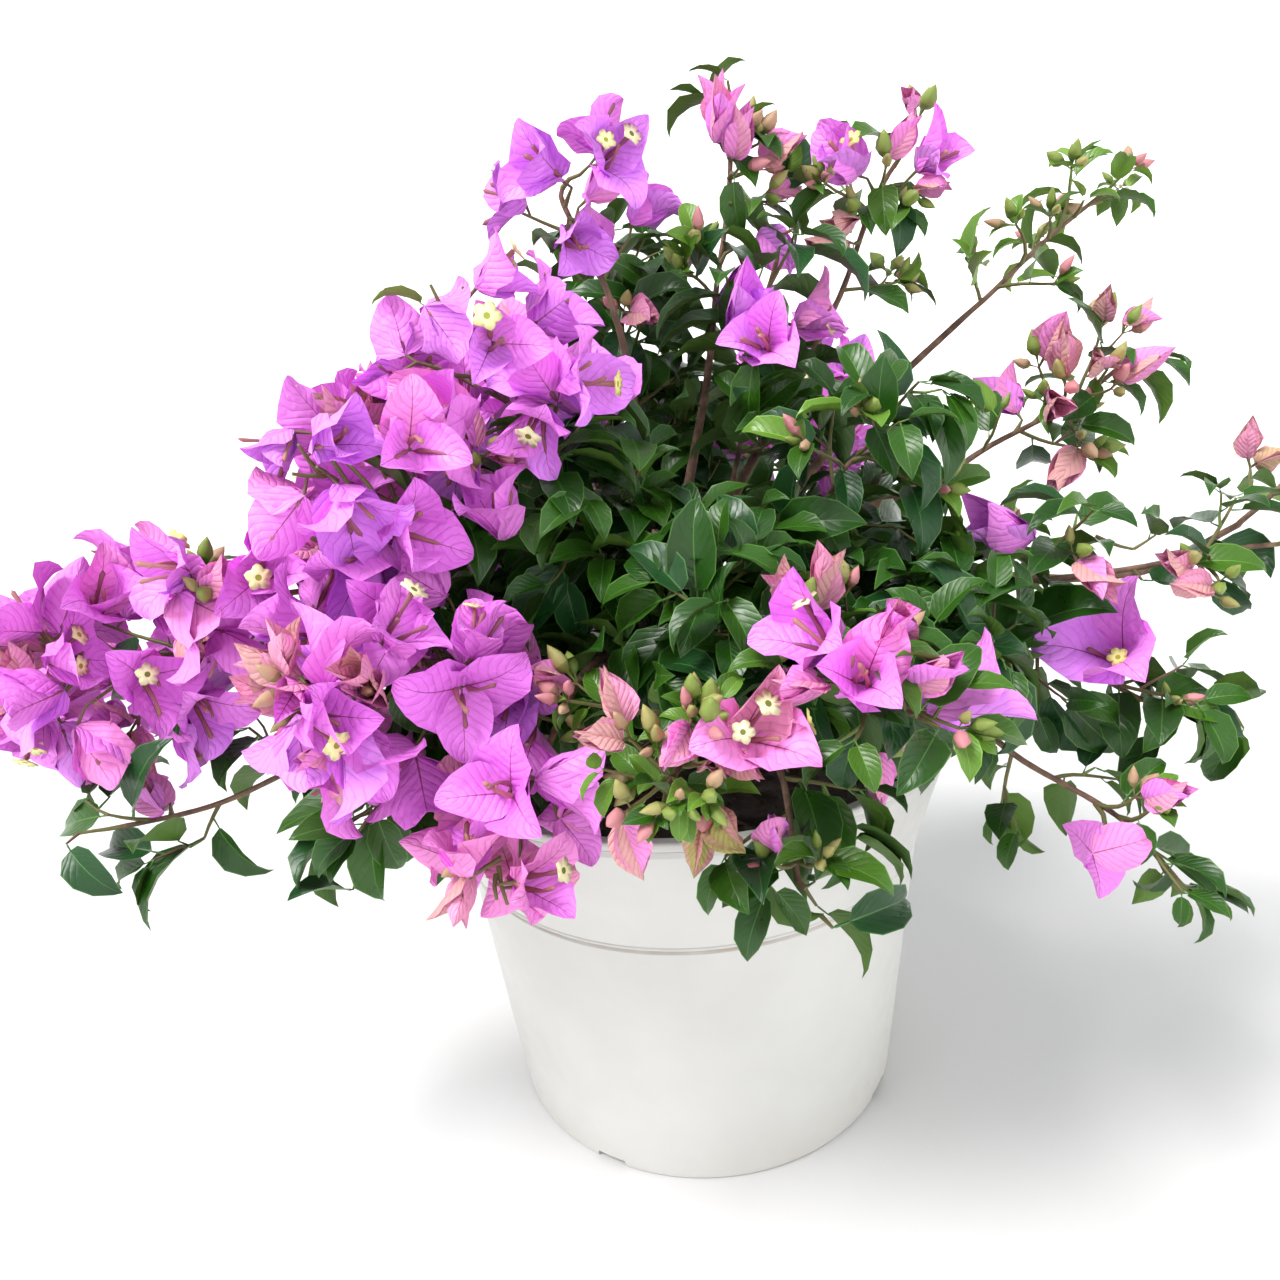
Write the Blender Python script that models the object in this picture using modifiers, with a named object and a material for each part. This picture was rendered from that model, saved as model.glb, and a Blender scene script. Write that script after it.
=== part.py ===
"""A bougainvillea in its white nursery pot.

Metres, +Z up.  The origin is the centre of the pot's flat underside.  A short old trunk stands in
the soil and ends in a knob of cut stubs.  A cane arches out of most stubs and ends where it enters
a mass: one stem with twigs, and leaves or papery bracts fused to them.  Aim angles are measured
round +Z from +X, so the plant's front is at -90 degrees.
"""
import math
import random
from collections import namedtuple

import bmesh
import bpy
from mathutils import Matrix, Quaternion, Vector
from mathutils.bvhtree import BVHTree

GAP = 0.0003                    # clearance between neighbouring solids
UP = Vector((0.0, 0.0, 1.0))
GOLDEN_ANGLE = math.radians(137.508)

# Pot: a turned plastic shell
POT_STEPS = 32
POT_HEIGHT = 0.207
BASE_RADIUS = 0.1005
BASE_CHAMFER = 0.0018
FLOOR_THICKNESS = 0.0055
WALL_THICKNESS = 0.0028
GROOVE_HEIGHT = 0.1415
GROOVE_RADIUS = 0.1135
GROOVE_DEPTH = 0.0009
GROOVE_HALF_WIDTH = 0.0010
BAND_HEIGHT = 0.1995            # underside of the rim band
BAND_FOOT_RADIUS = 0.1300
RIM_RADIUS = 0.1335
RIM_WIDTH = 0.0052
RIM_ROUNDING = 0.0013
NOTCH_AIMS = (-120.0, -31.0, 59.0, 149.0)
NOTCH_WIDTH = 0.0175
NOTCH_HEIGHT = 0.0040
NOTCH_DEPTH = 0.0060

# Soil: fills the pot to a little under its rim
SOIL_EDGE_HEIGHT = 0.1855
SOIL_DOME = 0.0025

# Trunk: a short, leaning, knobbly stump
TRUNK_FOOT = Vector((0.004, 0.002, SOIL_EDGE_HEIGHT + SOIL_DOME + GAP))
KNOB = Vector((0.000, -0.004, 0.2300))
TRUNK_SHARES = (0.0, 0.07, 0.30, 0.62, 0.95, 1.25)      # of the way from its foot to the knob
TRUNK_RADII = (0.0205, 0.0160, 0.0145, 0.0150, 0.0155, 0.0105)
ROOT_COUNT = 5
ROOT_REACH = 0.027
ROOT_RISE = 0.016
ROOT_RADIUS = 0.0085
ROOT_TIP_RADIUS = 0.0026
STUB_START = 0.009
STUB_REACH = 0.031              # from the knob's centre to a stub's flat end
STUB_RADIUS = 0.0035
STUB_SPREAD = math.radians(19.0)        # least angle between two stubs
STUB_LOWEST = math.radians(12.0)

# Canes and stems
CANE_RADIUS = 0.0030
CANE_TIP_RADIUS = 0.0016
CANE_BENDS = 3
CANE_LEAD = 0.004
CANE_PULL = 0.38
STEM_RADIUS = 0.0018
STEM_TIP_RADIUS = 0.0011
TWIG_RADIUS = 0.0012
TWIG_TIP_RADIUS = 0.0008
LIMB_CLEARANCE = 0.0009
CELL_MARGIN = 0.0004
POT_MARGIN = 0.0020

# Twigs and blades
SHORTEST_TWIG = 0.006
LOWEST_LEAN = math.radians(78.0)        # of a twig from its stem, at the stem's foot
TOP_LEAN = math.radians(26.0)
USUAL_SPREAD = 0.044                    # a mass this wide has its habit's count of twigs
BLADE_SETBACK = 0.0008
BRACT_SPACING = 0.0032
LEAF_SPACING = 0.32                     # as a share of the twig
LEAF_DROOP = 0.22

# One row for each mass.  aim, rise: degrees; the rest: metres.  reach is the distance of its centre
# from the pot's axis, spread its radius across its stem and length its half length along it.
# A mass with no cane grows straight from the trunk on a longer stem.
Mass = namedtuple("Mass", "name kind aim reach height spread length rise caned")
MASSES = (
    Mass("far_left", "bloom", -163, 0.238, 0.270, 0.058, 0.062, -6, True),
    Mass("left", "bloom", -152, 0.186, 0.306, 0.046, 0.046, 12, True),
    Mass("left_upper", "bloom", -131, 0.092, 0.374, 0.056, 0.056, 52, True),
    Mass("left_shoulder", "bloom", -136, 0.142, 0.338, 0.054, 0.054, 34, True),
    Mass("left_front", "bloom", -128, 0.166, 0.280, 0.056, 0.056, 6, True),
    Mass("rim_left", "bloom", -111, 0.166, 0.236, 0.044, 0.044, -28, True),
    Mass("left_trail", "leaf", -154, 0.216, 0.222, 0.044, 0.068, -6, True),
    Mass("left_skirt", "leaf", -139, 0.170, 0.214, 0.046, 0.044, -42, False),
    Mass("crown_left", "bloom", 180, 0.028, 0.436, 0.047, 0.050, 76, True),
    Mass("crown", "bud", 30, 0.040, 0.434, 0.044, 0.055, 80, True),
    Mass("crown_right", "bud", 20, 0.112, 0.424, 0.048, 0.050, 60, True),
    Mass("upper_right", "young", 17, 0.200, 0.404, 0.040, 0.054, 34, True),
    Mass("right_spray", "bud", 5, 0.188, 0.336, 0.046, 0.054, 28, True),
    Mass("right", "bloom", -17, 0.164, 0.288, 0.044, 0.050, 12, True),
    Mass("far_right", "bloom", -8, 0.244, 0.272, 0.042, 0.050, 8, True),
    Mass("right_edge", "young", 0, 0.300, 0.308, 0.040, 0.048, 42, True),
    Mass("right_trail", "leaf", -18, 0.206, 0.226, 0.048, 0.054, -22, True),
    Mass("right_skirt", "trail", -30, 0.198, 0.180, 0.046, 0.058, -34, True),
    Mass("front_right", "bloom", -67, 0.164, 0.272, 0.054, 0.052, 4, True),
    Mass("front", "young", -92, 0.152, 0.258, 0.056, 0.054, 2, True),
    Mass("front_skirt", "leaf", -76, 0.168, 0.212, 0.044, 0.042, -40, False),
    Mass("heart_left", "leaf", -120, 0.072, 0.312, 0.058, 0.058, 52, False),
    Mass("heart", "leaf", -84, 0.098, 0.282, 0.058, 0.056, 34, False),
    Mass("heart_right", "leaf", -30, 0.088, 0.322, 0.060, 0.060, 56, False),
    Mass("heart_low_left", "leaf", -138, 0.104, 0.254, 0.056, 0.054, 18, False),
    Mass("heart_low_right", "leaf", -42, 0.122, 0.256, 0.056, 0.054, 14, False),
    Mass("heart_top", "leaf", 0, 0.046, 0.374, 0.056, 0.060, 76, False),
    Mass("heart_back", "leaf", 92, 0.076, 0.306, 0.062, 0.060, 48, False),
    Mass("back_left", "bloom", 158, 0.146, 0.322, 0.056, 0.056, 30, True),
    Mass("back_left_low", "leaf", 150, 0.168, 0.244, 0.054, 0.056, 0, False),
    Mass("back", "bloom", 114, 0.142, 0.326, 0.056, 0.056, 34, True),
    Mass("back_low", "leaf", 102, 0.170, 0.244, 0.056, 0.056, 0, False),
    Mass("back_right", "bloom", 60, 0.150, 0.318, 0.056, 0.056, 30, True),
    Mass("back_right_low", "leaf", 50, 0.178, 0.244, 0.056, 0.056, 0, False),
    Mass("back_high", "leaf", 104, 0.066, 0.386, 0.054, 0.058, 66, False),
)

# What a kind of mass bears: twigs on its stem, blades on a twig, and how far its twigs reach
# towards the edge of its space.
Habit = namedtuple("Habit", "prefix twigs blades twig_reach")
HABITS = {
    "bloom": Habit("blooms", 6, ("bract", "bract", "bract"), 0.34),
    "leaf": Habit("leaves", 5, ("leaf", "leaf", "leaf"), 0.56),
    "trail": Habit("trail", 5, ("leaf", "leaf", "bract"), 0.56),
    "young": Habit("shoots", 5, ("leaf", "bud", "leaf"), 0.60),
    "bud": Habit("buds", 5, ("leaf", "bud", "bract"), 0.60),
}


def heading(aim, rise):
    """Unit vector at an aim round +Z and a rise above the horizontal, both in degrees."""
    aim, rise = math.radians(aim), math.radians(rise)
    return Vector((math.cos(aim) * math.cos(rise), math.sin(aim) * math.cos(rise), math.sin(rise)))


def centre_of(mass):
    return mass.reach * heading(mass.aim, 0.0) + mass.height * UP


def entry_of(mass):
    """Where the stem enters the mass."""
    return centre_of(mass) - mass.length * heading(mass.aim, mass.rise)


# ---------------------------------------------------------------- scene, materials, small makers

def clear_scene():
    for thing in list(bpy.data.objects):
        bpy.data.objects.remove(thing, do_unlink=True)


def new_collection(name):
    collection = bpy.data.collections.new(name)
    bpy.context.scene.collection.children.link(collection)
    return collection


def finish_material(name, colour, roughness):
    material = bpy.data.materials.new(name)
    material.use_nodes = True
    shader = material.node_tree.nodes["Principled BSDF"]
    shader.inputs["Base Color"].default_value = (*colour, 1.0)
    shader.inputs["Roughness"].default_value = roughness
    shader.inputs["Metallic"].default_value = 0.0
    material.diffuse_color = (*colour, 1.0)
    return material


def object_from_bmesh(name, bm, collection):
    mesh = bpy.data.meshes.new(name)
    bm.to_mesh(mesh)
    bm.free()
    thing = bpy.data.objects.new(name, mesh)
    collection.objects.link(thing)
    return thing


def hide_as_guide(thing):
    thing.hide_render = True
    thing.display_type = "WIRE"


def evaluated_mesh(thing):
    bpy.context.view_layer.update()
    depsgraph = bpy.context.evaluated_depsgraph_get()
    return bpy.data.meshes.new_from_object(thing.evaluated_get(depsgraph))


def bake_modifiers(thing):
    mesh = evaluated_mesh(thing)
    thing.modifiers.clear()
    thing.data = mesh


def turned(name, profile, steps, collection):
    """A solid of revolution round Z; the profile runs from the axis over the top and down."""
    bm = bmesh.new()
    corners = [bm.verts.new((radius, 0.0, height)) for radius, height in profile]
    for start, end in zip(corners, corners[1:]):
        bm.edges.new((start, end))
    thing = object_from_bmesh(name, bm, collection)
    screw = thing.modifiers.new("turn", "SCREW")
    screw.axis = "Z"
    screw.steps = screw.render_steps = steps
    screw.use_merge_vertices = True
    screw.merge_threshold = 0.00001
    screw.use_smooth_shade = True
    return thing


def three_sided_profile(collection):
    """A small triangle that a stem's curve is swept with."""
    outline = bpy.data.curves.new("stem_profile", "CURVE")
    spline = outline.splines.new("POLY")
    spline.points.add(2)
    spline.use_cyclic_u = True
    for number, point in enumerate(spline.points):
        turn = math.tau * number / 3
        point.co = (math.cos(turn), math.sin(turn), 0.0, 1.0)
    profile = bpy.data.objects.new("stem_profile", outline)
    collection.objects.link(profile)
    hide_as_guide(profile)
    return profile


def tube(name, points, radii, resolution, collection, profile=None):
    """A tapering limb through the points, round or of the profile's section, as a closed mesh."""
    curve = bpy.data.curves.new(name, "CURVE")
    curve.dimensions = "3D"
    curve.use_fill_caps = True
    if profile:
        curve.bevel_mode = "OBJECT"
        curve.bevel_object = profile
    else:
        curve.bevel_depth = 1.0
        curve.bevel_resolution = resolution
    spline = curve.splines.new("POLY")
    spline.points.add(len(points) - 1)
    for point, place, radius in zip(spline.points, points, radii):
        point.co = (*place, 1.0)
        point.radius = radius
    holder = bpy.data.objects.new(name + "_curve", curve)
    collection.objects.link(holder)
    mesh = evaluated_mesh(holder)
    bm = bmesh.new()
    bm.from_mesh(mesh)
    bmesh.ops.remove_doubles(bm, verts=bm.verts, dist=0.00001)
    bmesh.ops.recalc_face_normals(bm, faces=bm.faces)
    limb = object_from_bmesh(name, bm, collection)
    limb.matrix_world = holder.matrix_world
    bpy.data.objects.remove(holder, do_unlink=True)
    return limb


def rod(name, start, end, start_radius, end_radius, sides, collection):
    """A straight tapering rod with flat ends."""
    axis = end - start
    bm = bmesh.new()
    bmesh.ops.create_cone(bm, cap_ends=True, segments=sides, radius1=start_radius,
                          radius2=end_radius, depth=axis.length)
    turn = UP.rotation_difference(axis).to_matrix().to_4x4()
    bmesh.ops.transform(bm, matrix=Matrix.Translation((start + end) / 2) @ turn, verts=bm.verts)
    return object_from_bmesh(name, bm, collection)


def blade_corners(root, along, side, length, width, thickness, arch):
    """The five corners of a leaf: root, tip and two edges, and the crown of its upper face."""
    face = side.cross(along)
    belly = root + 0.42 * length * along + arch * face
    return {
        (-1, 0, 0): root,
        (1, 0, 0): root + length * along - arch * face,
        (0, -1, 0): belly - 0.5 * width * side,
        (0, 1, 0): belly + 0.5 * width * side,
        (0, 0, 1): belly + thickness * face,
    }


def blade(name, corners, collection):
    """A leaf, bract or bud: a four-sided cone on the leaf's outline, arched across its belly."""
    bm = bmesh.new()
    bmesh.ops.create_cone(bm, cap_ends=True, segments=4, radius1=1.0, radius2=0.0, depth=1.0)
    for vert in bm.verts:
        place = (round(vert.co.x), round(vert.co.y), round(vert.co.z + 0.5))
        vert.co = corners[place]
    bmesh.ops.remove_doubles(bm, verts=bm.verts, dist=0.000001)
    bmesh.ops.triangulate(bm, faces=bm.faces, quad_method="SHORT_EDGE")
    bmesh.ops.recalc_face_normals(bm, faces=bm.faces)
    return object_from_bmesh(name, bm, collection)


def fuse(body, pieces):
    """Join every object of the collection to the body and remove them."""
    union = body.modifiers.new("fuse", "BOOLEAN")
    union.operation = "UNION"
    union.operand_type = "COLLECTION"
    union.collection = pieces
    bake_modifiers(body)
    for piece in list(pieces.objects):
        bpy.data.objects.remove(piece, do_unlink=True)
    bpy.data.collections.remove(pieces)
    keep_outer_shell(body)


def keep_outer_shell(body):
    """Drop loose scraps and sealed hollows: keep the shell that reaches widest."""
    bm = bmesh.new()
    bm.from_mesh(body.data)
    bmesh.ops.triangulate(bm, faces=bm.faces)
    shells, waiting = [], set(bm.verts)
    while waiting:
        shell, edge = set(), {next(iter(waiting))}
        while edge:
            vert = edge.pop()
            shell.add(vert)
            edge.update(e.other_vert(vert) for e in vert.link_edges)
            edge -= shell
        waiting -= shell
        shells.append(shell)
    widest = max(shells, key=lambda shell: extent([vert.co for vert in shell]))
    bmesh.ops.delete(bm, geom=[v for v in bm.verts if v not in widest], context="VERTS")
    bm.to_mesh(body.data)
    bm.free()


def extent(points):
    low = Vector(min(p[axis] for p in points) for axis in range(3))
    high = Vector(max(p[axis] for p in points) for axis in range(3))
    return (high - low).length


# ---------------------------------------------------------------- pot and soil

def wall_radius(height):
    """Outer radius of the pot's wall."""
    if height < GROOVE_HEIGHT:
        return BASE_RADIUS + (GROOVE_RADIUS - BASE_RADIUS) * height / GROOVE_HEIGHT
    share = (height - GROOVE_HEIGHT) / (BAND_HEIGHT - GROOVE_HEIGHT)
    return GROOVE_RADIUS + (BAND_FOOT_RADIUS - GROOVE_RADIUS) * min(share, 1.0)


def inner_radius(height):
    """Radius of the pot's inner wall: straight from the groove's height to the rim."""
    if height < GROOVE_HEIGHT:
        return wall_radius(height) - WALL_THICKNESS
    groove_radius = GROOVE_RADIUS - WALL_THICKNESS
    share = (height - GROOVE_HEIGHT) / (POT_HEIGHT - GROOVE_HEIGHT)
    return groove_radius + share * (RIM_RADIUS - RIM_WIDTH - groove_radius)


def make_pot(collection, cutters):
    groove_low = GROOVE_HEIGHT - GROOVE_HALF_WIDTH
    groove_high = GROOVE_HEIGHT + GROOVE_HALF_WIDTH
    profile = [
        (0.0, FLOOR_THICKNESS),
        (inner_radius(FLOOR_THICKNESS), FLOOR_THICKNESS),
        (inner_radius(GROOVE_HEIGHT), GROOVE_HEIGHT),
        (inner_radius(POT_HEIGHT - RIM_ROUNDING), POT_HEIGHT - RIM_ROUNDING),
        (inner_radius(POT_HEIGHT) + RIM_ROUNDING, POT_HEIGHT),
        (RIM_RADIUS - RIM_ROUNDING, POT_HEIGHT),
        (RIM_RADIUS, POT_HEIGHT - RIM_ROUNDING),
        (RIM_RADIUS, BAND_HEIGHT + 0.0006),
        (BAND_FOOT_RADIUS, BAND_HEIGHT),
        (wall_radius(groove_high), groove_high),
        (GROOVE_RADIUS - GROOVE_DEPTH, GROOVE_HEIGHT),
        (wall_radius(groove_low), groove_low),
        (wall_radius(BASE_CHAMFER), BASE_CHAMFER),
        (BASE_RADIUS - BASE_CHAMFER, 0.0),
        (0.0, 0.0),
    ]
    pot = turned("pot", profile, POT_STEPS, collection)
    for number, aim in enumerate(NOTCH_AIMS, 1):
        cut = pot.modifiers.new(f"notch_{number}", "BOOLEAN")
        cut.operation = "DIFFERENCE"
        cut.object = make_notch(f"notch_{number}", aim, cutters)
    return pot


def make_notch(name, aim, cutters):
    """The cutter of a drainage notch in the foot of the wall."""
    bm = bmesh.new()
    bmesh.ops.create_cube(bm, size=1.0)
    bmesh.ops.scale(bm, vec=(2 * NOTCH_DEPTH, NOTCH_WIDTH, 2 * NOTCH_HEIGHT), verts=bm.verts)
    notch = object_from_bmesh(name, bm, cutters)
    notch.location = BASE_RADIUS * heading(aim, 0.0)
    notch.rotation_euler = (0.0, 0.0, math.radians(aim))
    hide_as_guide(notch)
    return notch


def make_soil(collection):
    """The root ball: clear of the pot's wall and floor, slightly domed."""
    profile = [
        (0.0, SOIL_EDGE_HEIGHT + SOIL_DOME),
        (0.4 * inner_radius(SOIL_EDGE_HEIGHT), SOIL_EDGE_HEIGHT + SOIL_DOME),
        (inner_radius(SOIL_EDGE_HEIGHT) - GAP, SOIL_EDGE_HEIGHT),
        (inner_radius(GROOVE_HEIGHT) - GAP, GROOVE_HEIGHT),
        (inner_radius(FLOOR_THICKNESS) - GAP, FLOOR_THICKNESS + GAP),
        (0.0, FLOOR_THICKNESS + GAP),
    ]
    return turned("soil", profile, POT_STEPS, collection)


# ---------------------------------------------------------------- trunk, canes and stems

def stub_directions():
    """A direction out of the knob for each mass, near its way out but apart from the others."""
    wanted = []
    for mass in MASSES:
        way = entry_of(mass) - KNOB
        way.z += 0.5 * math.hypot(way.x, way.y)
        wanted.append(way.normalized())
    for _ in range(120):
        for first in range(len(wanted)):
            for second in range(first):
                push_apart(wanted, first, second)
        for way in wanted:
            way.z = max(way.z, math.sin(STUB_LOWEST))
            way.normalize()
    return wanted


def push_apart(ways, first, second):
    angle = ways[first].angle(ways[second])
    if angle < STUB_SPREAD:
        away = (ways[first] - ways[second]).normalized() * 0.5 * (STUB_SPREAD - angle)
        ways[first] = (ways[first] + away).normalized()
        ways[second] = (ways[second] - away).normalized()


def bezier(start, start_pull, end_pull, end, share):
    rest = 1.0 - share
    return (rest ** 3 * start + 3 * rest ** 2 * share * start_pull
            + 3 * rest * share ** 2 * end_pull + share ** 3 * end)


def route_of(mass, way):
    """The points of a cane, from its stub's flat end to where it enters the mass.

    A short straight lead at both ends keeps its flat ends square to its neighbours'.
    """
    axis = heading(mass.aim, mass.rise)
    start = KNOB + (STUB_REACH + GAP) * way
    end = entry_of(mass)
    stretch = (end - start).length
    lead = min(CANE_LEAD, 0.2 * stretch)
    start_pull = start + CANE_PULL * stretch * way
    end_pull = end - CANE_PULL * stretch * axis
    shares = [(number + 1) / (CANE_BENDS + 1) for number in range(CANE_BENDS)]
    bends = [bezier(start, start_pull, end_pull, end, share) for share in shares]
    return [start, start + lead * way, *bends, end - lead * axis, end]


def taper(start_radius, end_radius, count):
    return [start_radius + (end_radius - start_radius) * n / (count - 1) for n in range(count)]


def make_trunk(ways, collection):
    """The stump, its surface roots and a stub for each cane, fused."""
    rise = KNOB - TRUNK_FOOT
    points = [TRUNK_FOOT + share * rise for share in TRUNK_SHARES]
    points[1].x, points[1].y = points[0].x, points[0].y
    trunk = tube("trunk", points, TRUNK_RADII, 3, collection)
    pieces = new_collection("trunk_pieces")
    for number in range(ROOT_COUNT):
        aim = 360.0 * number / ROOT_COUNT + 20.0
        start = TRUNK_FOOT + ROOT_RISE * UP
        end = TRUNK_FOOT + ROOT_REACH * heading(aim, 0.0) + 1.2 * ROOT_TIP_RADIUS * UP
        rod(f"root_{number}", start, end, ROOT_RADIUS, ROOT_TIP_RADIUS, 5, pieces)
    for number, way in enumerate(ways):
        rod(f"stub_{number}", KNOB + STUB_START * way, KNOB + STUB_REACH * way,
            1.25 * STUB_RADIUS, STUB_RADIUS, 4, pieces)
    fuse(trunk, pieces)
    return trunk


def stem_points(mass, rng):
    """The stem inside the mass: from its entry, bending a little, towards its far end."""
    axis = heading(mass.aim, mass.rise)
    start = entry_of(mass) + GAP * axis
    middle = centre_of(mass) + 0.12 * mass.spread * sideways(axis, rng.uniform(0.0, math.tau))
    end = centre_of(mass) + 0.55 * mass.length * axis
    return [start, start + 0.3 * mass.length * axis, middle, end]


def sideways(axis, angle):
    """Unit vector square to the axis, turned round it by the angle."""
    across = axis.cross(UP if abs(axis.z) < 0.95 else Vector((1.0, 0.0, 0.0))).normalized()
    return Quaternion(axis, angle) @ across


def along_path(points, share):
    """The point at a share of the path's number of stretches."""
    place = share * (len(points) - 1)
    index = min(int(place), len(points) - 2)
    return points[index].lerp(points[index + 1], place - index)


def make_stem(mass, points, profile, collection):
    """A mass's three-sided stem."""
    radii = taper(STEM_RADIUS, STEM_TIP_RADIUS, len(points))
    return tube(f"{HABITS[mass.kind].prefix}_{mass.name}", points, radii, 0, collection, profile)


# ---------------------------------------------------------------- the space that a mass may fill

def in_ellipsoid(mass, point):
    axis = heading(mass.aim, mass.rise)
    offset = point - centre_of(mass)
    along = offset.dot(axis)
    across = (offset - along * axis).length
    return (along / mass.length) ** 2 + (across / mass.spread) ** 2 <= 1.0


def in_cell(mass, point):
    """Inside the mass's own ellipsoid and on its side of the plane to each other mass."""
    if not in_ellipsoid(mass, point) or not outside_pot(point):
        return False
    centre = centre_of(mass)
    own = (point - centre).length_squared - mass.spread ** 2
    for other in MASSES:
        if other.name == mass.name:
            continue
        distance = (centre_of(other) - centre).length
        theirs = (point - centre_of(other)).length_squared - other.spread ** 2
        if own + 2 * CELL_MARGIN * distance > theirs:
            return False
    return True


def outside_pot(point):
    if point.z > POT_HEIGHT + POT_MARGIN:
        return True
    return math.hypot(point.x, point.y) > RIM_RADIUS + POT_MARGIN


def guard_tree(thing):
    """A search tree of an object's faces."""
    mesh = thing.data
    corners = [thing.matrix_world @ vert.co for vert in mesh.vertices]
    return BVHTree.FromPolygons(corners, [tuple(face.vertices) for face in mesh.polygons])


def limb_guards(routes, stems, scratch):
    """For each mass a search tree of its cane and stem, a little fatter than they are."""
    guards = {}
    for mass in MASSES:
        points = routes[mass.name] + stems[mass.name][1:]
        radii = taper(CANE_RADIUS + LIMB_CLEARANCE, STEM_RADIUS + LIMB_CLEARANCE, len(points))
        guard = tube("guard", points, radii, 1, scratch)
        guards[mass.name] = guard_tree(guard)
        bpy.data.objects.remove(guard, do_unlink=True)
    return guards


class Growth:
    """One mass as it grows: its own space, what it must keep off and the pieces placed so far."""

    def __init__(self, mass, body, stem, rng, guards):
        self.mass = mass
        self.body = body
        self.stem = stem
        self.rng = rng
        self.axis = heading(mass.aim, mass.rise)
        self.limbs = [guard for name, guard in guards.items() if name != mass.name]
        self.pieces = new_collection(mass.name + "_pieces")
        self.taken = []

    def keep_if_free(self, thing, carrier=None):
        """Keep a twig or blade that stays in the space and off everything but its carrier."""
        tree = guard_tree(thing)
        others = self.limbs + [taken for owner, taken in self.taken if owner is not carrier]
        free = all(in_cell(self.mass, vert.co) for vert in thing.data.vertices)
        if free and not any(tree.overlap(other) for other in others):
            self.taken.append((thing, tree))
            return True
        bpy.data.objects.remove(thing, do_unlink=True)
        return False

    def reach_to_edge(self, start, way):
        """Distance from the start along the way to the edge of the mass's ellipsoid."""
        step, distance = 0.002, 0.0
        while in_ellipsoid(self.mass, start + (distance + step) * way):
            distance += step
        return distance

    def add_blade(self, kind, root, twig, way, turn):
        """Add one blade, its root sunk to its twig's middle; with no room it is turned or shrunk."""
        length, width, thickness, arch, tilt = BLADE_SIZES[kind]
        size = self.rng.uniform(0.88, 1.12)
        roll = self.rng.uniform(-0.4, 0.4)
        for shrink, more_turn in BLADE_TRIES:
            along, side = blade_frame(kind, way, turn + more_turn, tilt, roll)
            room = self.reach_to_edge(root, along) / length
            scale = shrink * min(size, room)
            if scale < SMALLEST_BLADE:
                continue
            corners = blade_corners(root, along, side, scale * length, scale * width, thickness,
                                    scale * arch)
            thing = blade(f"{self.mass.name}_{kind}", corners, self.pieces)
            if self.keep_if_free(thing, twig):
                return True
        return False

    def add_twig(self, root, way, length, blades):
        """Add a twig and the blades that it bears."""
        tip = root + length * way
        twig = rod(f"{self.mass.name}_twig", root - 0.0003 * way, tip, TWIG_RADIUS, TWIG_TIP_RADIUS,
                   3, self.pieces)
        if not self.keep_if_free(twig, self.body):
            return
        turn = self.rng.uniform(0.0, math.tau)
        kept = 0
        for order, kind in enumerate(blades):
            spacing = LEAF_SPACING * length if kind == "leaf" else BRACT_SPACING
            spot = tip - min(BLADE_SETBACK + order * spacing, 0.8 * length) * way
            kept += self.add_blade(kind, spot, twig, way, turn + order * math.tau / 3)
        if kept == 0:
            self.taken = [pair for pair in self.taken if pair[0] is not twig]
            bpy.data.objects.remove(twig, do_unlink=True)

    def grow(self):
        """Twigs that alternate round the stem by the golden angle, and a blade at its tip."""
        habit = HABITS[self.mass.kind]
        count = max(4, round(habit.twigs * self.mass.spread / USUAL_SPREAD))
        first_turn = self.rng.uniform(0.0, math.tau)
        for number in range(count):
            share = (number + 0.6) / count
            root = along_path(self.stem[1:], 0.05 + 0.95 * share)
            lean = LOWEST_LEAN + (TOP_LEAN - LOWEST_LEAN) * share
            across = sideways(self.axis, first_turn + number * GOLDEN_ANGLE)
            way = (math.cos(lean) * self.axis + math.sin(lean) * across).normalized()
            length = habit.twig_reach * self.reach_to_edge(root, way)
            if length > SHORTEST_TWIG:
                self.add_twig(root, way, length, habit.blades)
        end_way = (self.stem[-1] - self.stem[-2]).normalized()
        self.add_blade(habit.blades[0], self.stem[-1] - 0.0004 * end_way, self.body, end_way,
                       first_turn)

    def join(self):
        fuse(self.body, self.pieces)


# ---------------------------------------------------------------- twigs and blades

# For each kind of blade: length, width, thickness, arch, and how far it leans from its twig.
BLADE_SIZES = {
    "leaf": (0.062, 0.040, 0.0014, 0.0040, math.radians(50.0)),
    "bract": (0.050, 0.045, 0.0014, 0.0050, math.radians(62.0)),
    "bud": (0.026, 0.014, 0.0100, 0.0, math.radians(22.0)),
}
SMALLEST_BLADE = 0.5
# A blade's tries: how much it shrinks and how much further it is turned round its twig.
BLADE_SHRINKS = (1.0, 0.85, 0.7, 0.58)
BLADE_TURNS = (0.0, 0.5, -0.5, 1.0, -1.0, 1.6, -1.6)
BLADE_TRIES = [(shrink, turn) for shrink in BLADE_SHRINKS for turn in BLADE_TURNS]


def blade_frame(kind, twig_way, turn, tilt, roll):
    """Which way a blade runs out of its twig, and the way across it."""
    out = sideways(twig_way, turn)
    along = (math.cos(tilt) * twig_way + math.sin(tilt) * out).normalized()
    if kind == "leaf":
        along = (along - LEAF_DROOP * UP).normalized()
        side = along.cross(UP)
        if side.length < 0.2:
            side = out.cross(along)
    else:
        side = twig_way.cross(out)
    side = (side - side.dot(along) * along).normalized()
    return along, Quaternion(along, roll) @ side


# ---------------------------------------------------------------- the whole plant

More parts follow.
